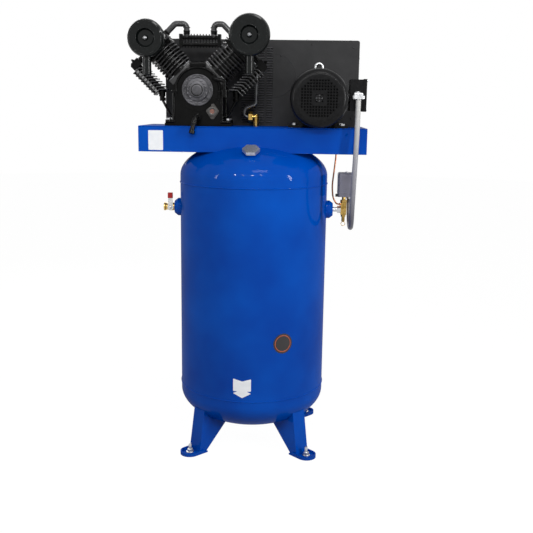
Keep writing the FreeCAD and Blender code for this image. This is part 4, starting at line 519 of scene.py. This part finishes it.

# ---- Pump crankcase
# Grey iron castings under brushed-on black paint: the crankcase, both finned cylinders and their heads.
# The paint is satin with a dusting of dirt, and its upward faces are painted paler as painted light from above;
# paler paint along the fins' edges is a painted highlight.


def casting_paint(name, dark, pale, rough=(0.36, 0.6), grit=0.9, shine=0.3):
    """Black paint over sand-cast iron: small pits and lumps show through, dust mottles it at random, and its
    upward faces are painted paler as painted light from above.
    """
    material, tree, output, place = blank(name)
    smear = add(tree, "ShaderNodeTexNoise", {"Scale": 22.0, "Detail": 6.0, "Roughness": 0.62},
                [("Vector", place)])
    facing = add(tree, "ShaderNodeNewGeometry", {})
    split = add(tree, "ShaderNodeSeparateXYZ", {}, [("Vector", facing.outputs["Normal"])])
    # Upward-facing faces are painted paler: painted light from above, added to the random dust.
    upward_light = add(tree, "ShaderNodeMapRange", {"From Min": 0.1, "From Max": 1.0, "To Min": 0.0, "To Max": 0.45},
                 [("Value", split.outputs["Z"])])
    dust_and_upward_light = add(tree, "ShaderNodeMath", {"operation": "MULTIPLY_ADD", 1: 0.55}, [
        (0, smear), (2, upward_light)])
    ramp = add(tree, "ShaderNodeValToRGB", {"stops": [(0.22, dark), (0.85, pale)]}, [("Fac", dust_and_upward_light)])
    sand = add(tree, "ShaderNodeTexNoise", {"Scale": 1000.0 / (grit * 3), "Detail": 3.0}, [("Vector", place)])
    sheen = add(tree, "ShaderNodeMapRange", {"To Min": rough[0], "To Max": rough[1]}, [("Value", smear)])
    bump = add(tree, "ShaderNodeBump", {"Strength": 0.55, "Distance": 0.0007}, [("Height", sand)])
    shader = add(tree, "ShaderNodeBsdfPrincipled", {"Specular IOR Level": shine}, [
        ("Base Color", ramp), ("Roughness", sheen), ("Normal", bump)])
    tree.links.new(shader.outputs["BSDF"], output.inputs["Surface"])
    return material


black_iron = casting_paint("black_painted_cast_iron", "#030303", "#1a1a1b", (0.14, 0.3), 0.9, 0.1)
grey_iron = casting_paint("grey_cast_bearing_cover", "#2c2c2f", "#8a898f", (0.3, 0.55), 2.4, 0.4)
dress(black_iron, "crankcase", "crankcase_fittings", "oil_drain_pipe", "cylinder_left", "cylinder_right",
      "cylinder_head_left", "cylinder_head_right", "side_cooler_left", "side_cooler_right", "top_cooler",
      "flywheel", "motor_pulley")
dress(grey_iron, "front_bearing_cover")


def part_painted_bolts(height):
    """Zinc-plated bolts low on the deck; above a height they were painted along with the pump."""
    material, tree, output, place = blank("part_painted_bolts")
    split = add(tree, "ShaderNodeSeparateXYZ", {}, [("Vector", place)])
    above = add(tree, "ShaderNodeMath", {"operation": "GREATER_THAN", 1: height}, [(0, split.outputs["Z"])])
    plated = add(tree, "ShaderNodeBsdfPrincipled",
                 {"Base Color": linear("#b4b5b7"), "Metallic": 1.0, "Roughness": 0.36})
    paint = add(tree, "ShaderNodeBsdfPrincipled", {"Base Color": linear("#4a4a4d"), "Roughness": 0.4,
                                                   "Specular IOR Level": 0.3})
    mixed = add(tree, "ShaderNodeMixShader", {}, [(0, above), (1, plated), (2, paint)])
    tree.links.new(mixed.outputs[0], output.inputs["Surface"])
    return material


dress(part_painted_bolts(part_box("front_bearing_cover")[0][2] - 5 * MM), "bolts")
cover_low, cover_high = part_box("front_bearing_cover")
crank_x, crank_z = (cover_low[0] + cover_high[0]) / 2, (cover_low[2] + cover_high[2]) / 2

# The front wall's relief: a raised collar over the bearing cover that runs out into a ledge either side, a
# pad under the V, corner ribs, and a toe over each hold-down bolt.
CASE_FACE = -118 * MM
COLLAR_RADIUS = 88


def on_case(x, z, proud=0.0):
    """A place on the crankcase's front wall, in millimetres from the crank's axis and out of the wall."""
    return Vector((crank_x + x * MM, CASE_FACE - proud * MM, crank_z + z * MM))


collar = []
for turn in range(-10, 191, 10):
    around = math.radians(turn)
    collar.append(on_case(COLLAR_RADIUS * math.cos(around), COLLAR_RADIUS * math.sin(around), 1))
relief = [rod(collar, 5.5 * MM)]
for side in (-1, 1):
    relief.append(soft_block(on_case(side * 92, -6, 1), (26 * MM, 16 * MM, 9 * MM), 2.5 * MM))
    relief.append(rod([on_case(side * 96, -8, 0.5), on_case(side * 96, -122, 0.5)], 4.5 * MM))
    relief.append(soft_block(on_case(side * 110, -124, -6), (40 * MM, 22 * MM, 12 * MM), 4 * MM))
relief.append(soft_block(on_case(0, 98), (66 * MM, 18 * MM, 18 * MM), 4 * MM))
for side in (-1, 1):
    relief.append(rod([on_case(side * 40, 84), on_case(side * 62, 62)], 4 * MM))
relief.append(rod([on_case(64, -22), on_case(88, -40), on_case(92, -70)], 3.5 * MM, 12 * MM))
gathered("crankcase_front_relief", relief, black_iron, smooth=50)
# The oil drain's elbow is a malleable iron fitting with a beaded mouth, and its cap has a bead as well.
drain_low, drain_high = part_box("oil_drain_pipe")
drain_x, drain_z = drain_low[0] + 27 * MM, drain_high[2] - 11.5 * MM
drain_turn = Vector((drain_x - 2 * MM, deck_low[1] - 8 * MM, drain_z))
drain_end = Vector((drain_x - 15 * MM, deck_low[1] - 22 * MM, deck_high[2] - 20 * MM))
fittings = [ring_bead((drain_x, CASE_FACE - 6 * MM, drain_z), 12.5 * MM, 2.4 * MM),
            ring_bead((drain_x, CASE_FACE - 22 * MM, drain_z), 10.5 * MM, 2.4 * MM),
            rod([(drain_x, CASE_FACE - 24 * MM, drain_z), drain_turn, drain_turn.lerp(drain_end, 0.5)],
                11 * MM, 12 * MM),
            rod([drain_turn.lerp(drain_end, 0.55), drain_end], 9.4 * MM)]
gathered("oil_drain_beads", fittings, black_iron, smooth=60)

# The bearing cover's hub carries a dark turned ring, its flange a bead, and both their faces cast dimples.
FLANGE_PROUD, CONE_PROUD = 15.4, 22.6
ring_bead((crank_x, cover_low[1] + 4.4 * MM, crank_z), 21 * MM, 3.2 * MM, "-Y", 64, 12)
settled("bearing_hub_ring", black_iron)
ring_bead(on_case(0, 0, 14.6), 58.5 * MM, 2.4 * MM, "-Y")
settled("bearing_cover_bead", grey_iron)
DIMPLES = 48
lumps = []
for number in range(DIMPLES):
    size = (3.1 + 1.1 * math.sin(number * 2.4)) * MM
    turn = 2 * math.pi * number / DIMPLES
    reach, proud = (51, FLANGE_PROUD) if number % 3 else (36, CONE_PROUD)
    reach += 3 * math.sin(number * 1.7)
    begin()
    bpy.ops.mesh.primitive_ico_sphere_add(subdivisions=2, radius=size, location=(0, 0, 0))
    lump = bpy.context.object
    lump.scale = (1.7, 0.6, 1)
    lump.rotation_euler = (0, -turn + 1.2, 0)
    lump.location = on_case(reach * math.cos(turn), reach * math.sin(turn), proud)
    bpy.ops.object.transform_apply(location=True, rotation=True, scale=True)
    lumps.append(lump)
gathered("bearing_cover_dimples", lumps, grey_iron, smooth=60)

# ---- Sight glass
# A brass diamond flange round a clear lens, with amber oil behind it.


def machined(name, dark, pale, rough=(0.2, 0.36)):
    """Machined bar: fine tool marks and a little tarnish, with the metal's own colour in its reflections."""
    material, tree, output, place = blank(name)
    tarnish = add(tree, "ShaderNodeTexNoise", {"Scale": 55.0, "Detail": 5.0}, [("Vector", place)])
    ramp = add(tree, "ShaderNodeValToRGB", {"stops": [(0.3, dark), (0.68, pale)]}, [("Fac", tarnish)])
    marks = add(tree, "ShaderNodeTexNoise", {"Scale": 320.0, "Detail": 2.0}, [("Vector", place)])
    sheen = add(tree, "ShaderNodeMapRange", {"To Min": rough[0], "To Max": rough[1]}, [("Value", tarnish)])
    bump = add(tree, "ShaderNodeBump", {"Strength": 0.2, "Distance": 0.0002}, [("Height", marks)])
    shader = add(tree, "ShaderNodeBsdfPrincipled", {"Metallic": 1.0}, [
        ("Base Color", ramp), ("Roughness", sheen), ("Normal", bump)])
    tree.links.new(shader.outputs["BSDF"], output.inputs["Surface"])
    return material


brass = machined("yellow_brass", "#a5843f", "#cfae68")
steel = machined("turned_steel", "#6d6e70", "#9d9ea0", (0.25, 0.42))
cast_aluminium = machined("die_cast_aluminium", "#83858a", "#b7b9bd", (0.32, 0.5))
dulled_brass = casting_paint("oily_brass_flange", "#3a3836", "#82807c", (0.35, 0.55), 0.9, 0.4)
# Paler, glossier paint for the fins' edges, head fins, barrel seats and cooler pipes: the paler colour is a
# painted highlight.
painted_highlight_iron = casting_paint("black_fins_painted_highlight", "#141415", "#4c4c4e", (0.18, 0.38), 1.2, 0.5)
dress(brass, "discharge_elbow", "outlet_valve_body", "safety_valve_body", "safety_valve_pull",
      "switch_manifold")
dress(steel, "crankshaft", "shaft_bearings", "motor_rotor")
dress(cast_aluminium, "piston_left", "piston_right")
dress(dulled_brass, "sight_glass_frame")

oil, tree, output, place = blank("amber_oil_behind_glass")
swirl = add(tree, "ShaderNodeTexNoise", {"Scale": 90.0, "Detail": 2.0}, [("Vector", place)])
ramp = add(tree, "ShaderNodeValToRGB", {"stops": [(0, "#3c2319"), (1, "#8a4a33")]}, [("Fac", swirl)])
shader = add(tree, "ShaderNodeBsdfPrincipled", {"Roughness": 0.08, "Coat Weight": 1.0, "Coat Roughness": 0.03},
             [("Base Color", ramp)])
tree.links.new(shader.outputs["BSDF"], output.inputs["Surface"])
dress(oil, "sight_glass_lens")
low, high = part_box("sight_glass_lens")
lens_middle = ((low[0] + high[0]) / 2, low[1] + 0.5 * MM, (low[2] + high[2]) / 2)
ring_bead(lens_middle, (high[0] - low[0]) / 2 - 1.5 * MM, 4 * MM, "-Y", 48, 12)
settled("sight_glass_bezel", dulled_brass)

# ---- Cylinders and heads
# Two finned barrels at 45 degrees either side, with nuts on the heads' studs and a row of small cast bosses
# up the front of the fins.
BANK = math.radians(45)
ROW = -72 * MM
BANK_FACE, FIN_PITCH, FIN_COUNT, FIN_RADIUS = 101 * MM, 14 * MM, 7, 60 * MM


def on_bank(piece, side):
    """Swing a piece that was made upright over the crank onto the left (-1) or right (1) bank."""
    turn = Matrix.Translation((crank_x, 0, crank_z)) @ Matrix.Rotation(side * BANK, 4, "Y")
    piece.data.transform(turn)
    return piece


def four_nuts(side, spread, height, across, high, stud):
    """A nut at each corner of a square about the cylinder's axis, on the given bank."""
    nuts = []
    for x in (-spread, spread):
        for y in (-spread, spread):
            nuts.append(on_bank(hex_head((x, ROW + y, height), across, high, stud=stud), side))
    return nuts


for side, hand in ((-1, "left"), (1, "right")):
    bosses, rims = [], []
    for number in range(FIN_COUNT):
        fin = BANK_FACE + FIN_PITCH * (number + 1)
        boss = dome((0, ROW - FIN_RADIUS + 1 * MM, fin + 1.5 * MM), 5.2 * MM, (0.8, 0.7, 1.25))
        bosses.append(on_bank(boss, side))
    gathered(f"fin_bosses_{hand}", bosses, black_iron, smooth=60)
    nuts = four_nuts(side, 48 * MM, 232 * MM, 13 * MM, 8 * MM, (3.2 * MM, 4 * MM))
    for x in (-20 * MM, 20 * MM):
        nuts.append(on_bank(hex_head((x, ROW - 58 * MM, 222 * MM), 10 * MM, 5 * MM, axis="-Y"), side))
    gathered(f"head_nuts_{hand}", nuts, steel)
    # Each fin's edge is a rounded bead in paler paint, a painted highlight along the edge.
    for number in range(FIN_COUNT):
        fin = BANK_FACE + FIN_PITCH * (number + 1)
        rim = ring_bead((0, ROW, fin + 2 * MM), FIN_RADIUS - 0.6 * MM, 2.5 * MM, axis="Z")
        rims.append(on_bank(rim, side))
    gathered(f"fin_rims_{hand}", rims, painted_highlight_iron, smooth=60)
    # Square fins carry on up the head, and a flange block seats the barrel on the case, both in the paler paint
    # of painted highlights.
    plates = []
    for number in range(4):
        fin = soft_block((0, ROW, (223 + 12 * number) * MM), (126 * MM, 118 * MM, 4.4 * MM), 2.0 * MM)
        plates.append(on_bank(fin, side))
    gathered(f"head_fins_{hand}", plates, painted_highlight_iron, smooth=50)
    seat = soft_block((0, ROW, 92 * MM), (112 * MM, 98 * MM, 22 * MM), 3.5 * MM)
    gathered(f"barrel_seat_{hand}", [on_bank(seat, side)], painted_highlight_iron, smooth=50)
    joint = soft_block((0, ROW, 104 * MM), (108 * MM, 100 * MM, 2.2 * MM), 0.8 * MM)
    gathered(f"barrel_gasket_{hand}", [on_bank(joint, side)], steel, smooth=50)
    # The barrel's foot is held down by four nuts on the crankcase's flat.
    nuts = four_nuts(side, 40 * MM, 108 * MM, 11 * MM, 7 * MM, (3 * MM, 3 * MM))
    gathered(f"barrel_nuts_{hand}", nuts, black_iron)

# ---- Air filters
# Pressed steel drums in gloss black enamel, each with a dished cover, a rolled rim, a domed nut and a snorkel
# below.  Paper elements sit inside.


def gloss_black(name, dark="#060808", pale="#141818", rough=(0.1, 0.2), wave=9.0, shine=0.16, coat=0.1):
    """Gloss black enamel on pressed sheet: deep reflections, a slow ripple of the press and fine dust."""
    material, tree, output, place = blank(name)
    dust = add(tree, "ShaderNodeTexNoise", {"Scale": 130.0, "Detail": 6.0, "Roughness": 0.7},
               [("Vector", place)])
    ramp = add(tree, "ShaderNodeValToRGB", {"stops": [(0.4, dark), (0.8, pale)]}, [("Fac", dust)])
    sheen = add(tree, "ShaderNodeMapRange", {"To Min": rough[0], "To Max": rough[1]}, [("Value", dust)])
    ripple = add(tree, "ShaderNodeTexNoise", {"Scale": wave, "Detail": 1.0}, [("Vector", place)])
    bump = add(tree, "ShaderNodeBump", {"Strength": 0.12, "Distance": 0.001}, [("Height", ripple)])
    gloss = {"Specular IOR Level": shine, "Coat Weight": coat, "Coat Roughness": 0.04}
    shader = add(tree, "ShaderNodeBsdfPrincipled", gloss, [
        ("Base Color", ramp), ("Roughness", sheen), ("Normal", bump)])
    tree.links.new(shader.outputs["BSDF"], output.inputs["Surface"])
    return material


filter_black = gloss_black("gloss_black_enamel")
pleats, tree, output, place = blank("pleated_filter_paper")
fold = add(tree, "ShaderNodeTexWave", {"wave_type": "RINGS", "Scale": 30.0, "Distortion": 0.6},
           [("Vector", place)])
ramp = add(tree, "ShaderNodeValToRGB", {"stops": [(0, "#8d7d55"), (1, "#c8b888")]},
           [("Fac", fold.outputs["Fac"])])
shader = add(tree, "ShaderNodeBsdfPrincipled", {"Roughness": 0.9}, [("Base Color", ramp)])
tree.links.new(shader.outputs["BSDF"], output.inputs["Surface"])
dress(filter_black, "air_filter_left", "air_filter_right", "air_filter_covers")
dress(pleats, "air_filter_elements")
FILTER_RADII = {"left": 70, "right": 78}
SNORKEL_Y = -169 * MM
for hand, reach in FILTER_RADII.items():
    low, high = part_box(f"air_filter_{hand}")
    x, z, front = (low[0] + high[0]) / 2, high[2] - reach * MM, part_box("air_filter_covers")[0][1]
    beads = []
    rolled = [(reach - 0.6, 2.0, 17.8), (reach - 9.5, 1.4, 2.8), (36.5, 1.3, 2.8), (24.0, 1.0, 15.3)]
    for radius, thick, y in rolled:
        beads.append(ring_bead((x, front + y * MM, z), radius * MM, thick * MM, "-Y"))
    gathered(f"filter_beads_{hand}", beads, filter_black, smooth=60)
    # A domed nut on the centre stud.
    nut = [hex_head((x, front + 6 * MM, z), 13 * MM, 6 * MM, axis="-Y"),
           dome((x, front + 1 * MM, z), 6 * MM, segments=32, rings=16)]
    gathered(f"filter_dome_nut_{hand}", nut, steel, smooth=60)
    # The snorkel's mouth is rolled outwards.
    mouth = ring_bead((x, SNORKEL_Y, low[2] + 1.5 * MM), 17 * MM, 1.8 * MM, axis="Z", segments=56)
    gathered(f"snorkel_rim_{hand}", [mouth], filter_black, smooth=60)

# ---- Coolers and pipes on the pump
# Finned copper and steel tube under the same black paint, with fin edges and pipe sleeves in paler paint as
# painted highlights:
# the cooler over the V, one down each side, and their union nuts.
SIDE_COOLER, COOLER_TIP, FIN_HALF_DEPTH, COOLER_PITCH = 108, 32, 31, 14.2
unions = []
for side in (-1, 1):
    foot_x, foot_z = crank_x + side * 147 * MM, crank_z - 9 * MM
    unions.append(hex_head((foot_x, ROW, foot_z - 34 * MM), 22 * MM, 12 * MM))
    for y in (-12 * MM, 12 * MM):
        cap = hex_head((side * SIDE_COOLER * MM, ROW + y, 264 * MM), 8 * MM, 5 * MM, stud=(2.4 * MM, 2 * MM))
        unions.append(on_bank(cap, side))
gathered("cooler_unions", unions, black_iron)
# The cooler's pipes are sleeved: the outer tube is what shows, with a bead at each end of its bends, all in the
# paler paint of painted highlights.
COOLER_HEIGHT, COOLER_SPREAD, COOLER_SHIFT, PIPE_RISE = 204.5 * MM, 54 * MM, 5 * MM, 51 * MM
sleeves = []
for side in (-1, 1):
    port = Matrix.Rotation(side * BANK, 3, "Y") @ Vector((-side * 61 * MM, 0, 247 * MM))
    start = Vector((crank_x, ROW, crank_z)) + port
    summit = crank_z + COOLER_HEIGHT + PIPE_RISE
    corner = Vector((start.x - side * (summit - start.z), ROW, summit))
    end = Vector((crank_x + COOLER_SHIFT + side * COOLER_SPREAD, ROW, crank_z + COOLER_HEIGHT))
    sleeves.append(rod([start, corner, (end.x, ROW, summit), end], 11.6 * MM, 17 * MM))
    for drop in (14, 26, 46):
        sleeves.append(ring_bead((end.x, ROW, summit - drop * MM), 12.2 * MM, 2.0 * MM, "Z", 40))
gathered("cooler_pipe_sleeves", sleeves, painted_highlight_iron, smooth=60)
# The side coolers' fin edges are beads in the same paler paint: painted highlights.
for side, hand in ((-1, "left"), (1, "right")):
    edges = []
    for number in range(9):
        high = (109 + COOLER_PITCH * number + 1.7) * MM
        for y in (ROW - FIN_HALF_DEPTH * MM, ROW + FIN_HALF_DEPTH * MM):
            course = [(side * (SIDE_COOLER + COOLER_TIP) * MM, y, high), (side * SIDE_COOLER * MM, y, high),
                      (side * (SIDE_COOLER - 22.4) * MM, y, high - 21.7 * MM)]
            edges.append(on_bank(rod(course, 2.6 * MM, 4 * MM), side))
    gathered(f"cooler_fin_edges_{hand}", edges, painted_highlight_iron, smooth=60)

# ---- Discharge line
# A finned aluminium tube brings air from the cooler to a brass elbow over the check valve.
ribbed = machined("drawn_aluminium_tube", "#4e4f51", "#77787a", (0.3, 0.5))
copper = machined("drawn_copper", "#8c5236", "#c07a55", (0.2, 0.38))
dress(ribbed, "discharge_tube")
dress(copper, "unloader_tube")
ring_bead((5 * MM, 26 * MM, 1384 * MM), 10.6 * MM, 1.5 * MM, "Z", 48)
settled("elbow_bead", brass)

# ---- Belt guard
# Two pressed halves of 2 mm sheet in matt dark powder coat, with louvres beside the flywheel, pop rivets along
# the edges and a shallow pressed disc over the flywheel.


def powder_coat(name, dark, pale):
    """Matt powder coat on sheet: an even fine texture, a little paler where it is scuffed."""
    material, tree, output, place = blank(name)
    scuff = add(tree, "ShaderNodeTexNoise", {"Scale": 8.0, "Detail": 8.0, "Roughness": 0.6},
                [("Vector", place)])
    ramp = add(tree, "ShaderNodeValToRGB", {"stops": [(0.3, dark), (0.75, pale)]}, [("Fac", scuff)])
    texture = add(tree, "ShaderNodeTexNoise", {"Scale": 700.0, "Detail": 2.0}, [("Vector", place)])
    bump = add(tree, "ShaderNodeBump", {"Strength": 0.35, "Distance": 0.0003}, [("Height", texture)])
    shader = add(tree, "ShaderNodeBsdfPrincipled", {"Roughness": 0.6, "Specular IOR Level": 0.2}, [
        ("Base Color", ramp), ("Normal", bump)])
    tree.links.new(shader.outputs["BSDF"], output.inputs["Surface"])
    return material


guard_coat = powder_coat("matt_dark_powder_coat", "#242425", "#323233")
belt_black, tree, output, place = blank("moulded_belt_rubber")
cloth = add(tree, "ShaderNodeTexNoise", {"Scale": 500.0, "Detail": 2.0}, [("Vector", place)])
bump = add(tree, "ShaderNodeBump", {"Strength": 0.5, "Distance": 0.0004}, [("Height", cloth)])
shader = add(tree, "ShaderNodeBsdfPrincipled", {"Base Color": linear("#1a1a1b"), "Roughness": 0.8},
             [("Normal", bump)])
tree.links.new(shader.outputs["BSDF"], output.inputs["Surface"])
dress(guard_coat, "belt_guard_front", "belt_guard_back")
dress(belt_black, "v_belts")
guard_low, guard_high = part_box("belt_guard_front")
RIVETS = [(57, 1654), (-340, 1660), (400, 1660), (400, 1375), (-340, 1375), (103, 1626), (230, 1672),
          (-140, 1672)]
rivets = []
for x, z in RIVETS:
    rivets.append(dome((x * MM, guard_low[1] - 0.2 * MM, z * MM), 4.2 * MM, (1, 0.45, 1), 16, 10))
gathered("guard_rivets", rivets, guard_coat, smooth=60)
ring_bead((75 * MM, guard_low[1] + 1.2 * MM, 1546 * MM), 88 * MM, 2.0 * MM, "-Y", 120, 8)
settled("guard_pressed_ring", guard_coat, smooth=60)
# Each louvre is pushed out into a small hood over its slot, in a paler coat that is a painted highlight on the
# hoods.
LOUVRE_COLUMNS, LOUVRE_ROWS, LOUVRE_PITCH = [(-60, 62), (10, 26), (44, 26)], 31, 10
louvre_highlight_coat = powder_coat("powder_coat_painted_highlight", "#3c3c3e", "#58585b")
hoods = []
for left, width in LOUVRE_COLUMNS:
    for number in range(LOUVRE_ROWS):
        top = guard_low[2] + (18.4 + LOUVRE_PITCH * number) * MM
        hoods.append(rod([((left + 0.5) * MM, guard_low[1] - 0.6 * MM, top),
                          ((left + width - 0.5) * MM, guard_low[1] - 0.6 * MM, top)], 1.5 * MM))
gathered("guard_louvre_hoods", hoods, louvre_highlight_coat, smooth=60)
# The halves meet at a hemmed seam, held by screws along the top and ends.
SEAM_Y = guard_high[1] - 12 * MM
screws = []
for x in (-330, -150, 30, 210, 390):
    screws.append(hex_head((x * MM, SEAM_Y, guard_high[2] - 0.5 * MM), 9 * MM, 3 * MM))
for z in (1400, 1510, 1620):
    screws.append(hex_head((guard_high[0] - 0.5 * MM, SEAM_Y, z * MM), 9 * MM, 3 * MM, axis="X"))
    screws.append(hex_head((guard_low[0] + 0.5 * MM, SEAM_Y, z * MM), 9 * MM, 3 * MM, axis="-X"))
gathered("guard_screws", screws, steel)

# ---- Motor
# A rolled-steel housing between cast end bells, with a pressed fan cowl on the front, all in satin black.


def moulded(name, dark, pale, rough=0.45, shine=0.4):
    """Moulded plastic with a light spark-eroded texture."""
    material, tree, output, place = blank(name)
    shade = add(tree, "ShaderNodeTexNoise", {"Scale": 12.0, "Detail": 3.0}, [("Vector", place)])
    ramp = add(tree, "ShaderNodeValToRGB", {"stops": [(0.3, dark), (0.7, pale)]}, [("Fac", shade)])
    spark = add(tree, "ShaderNodeTexNoise", {"Scale": 1200.0, "Detail": 1.0}, [("Vector", place)])
    bump = add(tree, "ShaderNodeBump", {"Strength": 0.3, "Distance": 0.0002}, [("Height", spark)])
    shader = add(tree, "ShaderNodeBsdfPrincipled", {"Roughness": rough, "Specular IOR Level": shine}, [
        ("Base Color", ramp), ("Normal", bump)])
    tree.links.new(shader.outputs["BSDF"], output.inputs["Surface"])
    return material


motor_black = gloss_black("satin_black_motor_enamel", "#0c0c0d", "#1c1c1d", (0.26, 0.4), 5.0, 0.1, 0.02)
fan_plastic = moulded("moulded_black_nylon", "#040404", "#070707", 0.7, 0.05)
dress(motor_black, "motor_frame", "motor_end_bells", "fan_cover", "terminal_box", "terminal_box_cover")
dress(fan_plastic, "cooling_fan")
fan_low, fan_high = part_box("fan_cover")
motor_x, motor_z = (fan_low[0] + fan_high[0]) / 2, (fan_low[2] + fan_high[2]) / 2
EYE_X, EYE_Y = 258 * MM, -52.5 * MM
eye = [ring_bead((EYE_X, EYE_Y, 1575 * MM), 14 * MM, 5.4 * MM, "-Y", 48, 16),
       hex_head((EYE_X, EYE_Y, 1552 * MM), 22 * MM, 8 * MM)]
gathered("motor_lifting_eye", eye, zinc, smooth=60)
COWL_RADIUS = 112 * MM
ribs = []
for y in (30.0, 62.0):
    middle = (motor_x, fan_low[1] + y * MM, motor_z)
    ribs.append(ring_bead(middle, COWL_RADIUS - 0.6 * MM, 1.2 * MM, "-Y", 128, 8))
for turn in (45, 135, 225, 315):
    spread = Matrix.Rotation(math.radians(-turn), 3, "Y") @ Vector((0.82 * COWL_RADIUS, 0, 0))
    at = Vector((motor_x, fan_high[1] + 0.4 * MM, motor_z)) + spread
    ribs.append(hex_head(at, 9 * MM, 4 * MM, axis="Y"))
gathered("fan_cowl_beads", ribs, motor_black, smooth=60)
# A blank data plate is riveted to the housing's left side.
begin()
bpy.ops.mesh.primitive_grid_add(x_subdivisions=14, y_subdivisions=6, size=1, location=(0, 0, 0))
tag = bpy.context.object
tag.scale = (90 * MM, 50 * MM, 1)
bpy.ops.object.transform_apply(location=True, rotation=True, scale=True)
TAG_RADIUS = 106.4 * MM
for corner in tag.data.vertices:
    turn = math.radians(160) - corner.co.y / (105 * MM)
    corner.co = Vector((motor_x + TAG_RADIUS * math.cos(turn), -55 * MM + corner.co.x,
                        motor_z + TAG_RADIUS * math.sin(turn)))
wall = tag.modifiers.new("wall", "SOLIDIFY")
wall.thickness, wall.offset = 0.8 * MM, 0
settled("motor_blank_tag", cast_aluminium)
box_low, box_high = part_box("terminal_box_cover")
screws = []
for y in (box_low[1] + 8 * MM, box_high[1] - 8 * MM):
    for z in (box_low[2] + 8 * MM, box_high[2] - 8 * MM):
        screws.append(hex_head((box_high[0] - 0.2 * MM, y, z), 7 * MM, 3 * MM, axis="X"))
gathered("terminal_box_screws", screws, zinc)

# ---- Pressure switch
# A grey moulded cover over a die-cast base, on the brass manifold at the right-hand port, with a small
# automatic-off lever at its side.
switch_grey = moulded("moulded_grey_abs", "#62616c", "#75747f")
lever_black = moulded("moulded_black_abs", "#131314", "#202022")
grip_red = moulded("dipped_red_vinyl", "#8f1418", "#b5201f", 0.3)
dress(switch_grey, "pressure_switch_cover", "pressure_switch_base")
dress(lever_black, "pressure_switch_lever")
dress(grip_red, "outlet_valve_grip")
hood_low, hood_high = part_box("pressure_switch_cover")
begin()
bpy.ops.mesh.primitive_cylinder_add(vertices=40, radius=7 * MM, depth=4 * MM, location=(0, 0, 0))
cap = bpy.context.object
end_face(cap)
bpy.ops.mesh.inset(thickness=1.6 * MM, depth=0.9 * MM)
bpy.ops.mesh.inset(thickness=2.0 * MM, depth=-1.2 * MM)
bpy.ops.object.mode_set(mode="OBJECT")
cap.location = ((hood_low[0] + hood_high[0]) / 2, 0, hood_high[2] + 0.8 * MM)
settled("switch_cover_nut", zinc)
begin()
bpy.ops.mesh.primitive_cube_add(size=1, location=(0, 0, 0))
seam = bpy.context.object
seam.scale = (hood_high[0] - hood_low[0] + 1.2 * MM, hood_high[1] - hood_low[1] + 1.2 * MM, 3 * MM)
seam.location = ((hood_low[0] + hood_high[0]) / 2, (hood_low[1] + hood_high[1]) / 2, hood_low[2] + 1.5 * MM)
bpy.ops.object.transform_apply(location=True, rotation=True, scale=True)
bpy.ops.object.mode_set(mode="EDIT")
bpy.ops.mesh.select_mode(type="EDGE")
mesh = bmesh.from_edit_mesh(seam.data)
for edge in mesh.edges:
    edge.select_set(abs((edge.verts[0].co - edge.verts[1].co).normalized().z) > 0.9)
bmesh.update_edit_mesh(seam.data)
bpy.ops.mesh.bevel(offset=9.2 * MM, segments=8)
bpy.ops.object.mode_set(mode="OBJECT")
lip = seam.modifiers.new("lip", "BEVEL")
lip.width, lip.segments = 0.8 * MM, 2
settled("switch_cover_lip", switch_grey)

# ---- Outlet ball valve
# Brass, with a zinc-plated handle whose end is dipped in red vinyl; the stem's nut holds the handle.
lever_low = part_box("outlet_valve_lever")[0]
STEM_X, PORT_HEIGHT = -347.1 * MM, 1001 * MM
stem_nut = hex_head((STEM_X, lever_low[1] + 0.3 * MM, PORT_HEIGHT), 11 * MM, 5 * MM, axis="-Y",
                    stud=(3 * MM, 2 * MM))
gathered("outlet_stem_nut", [stem_nut], zinc, body="outlet_handle")
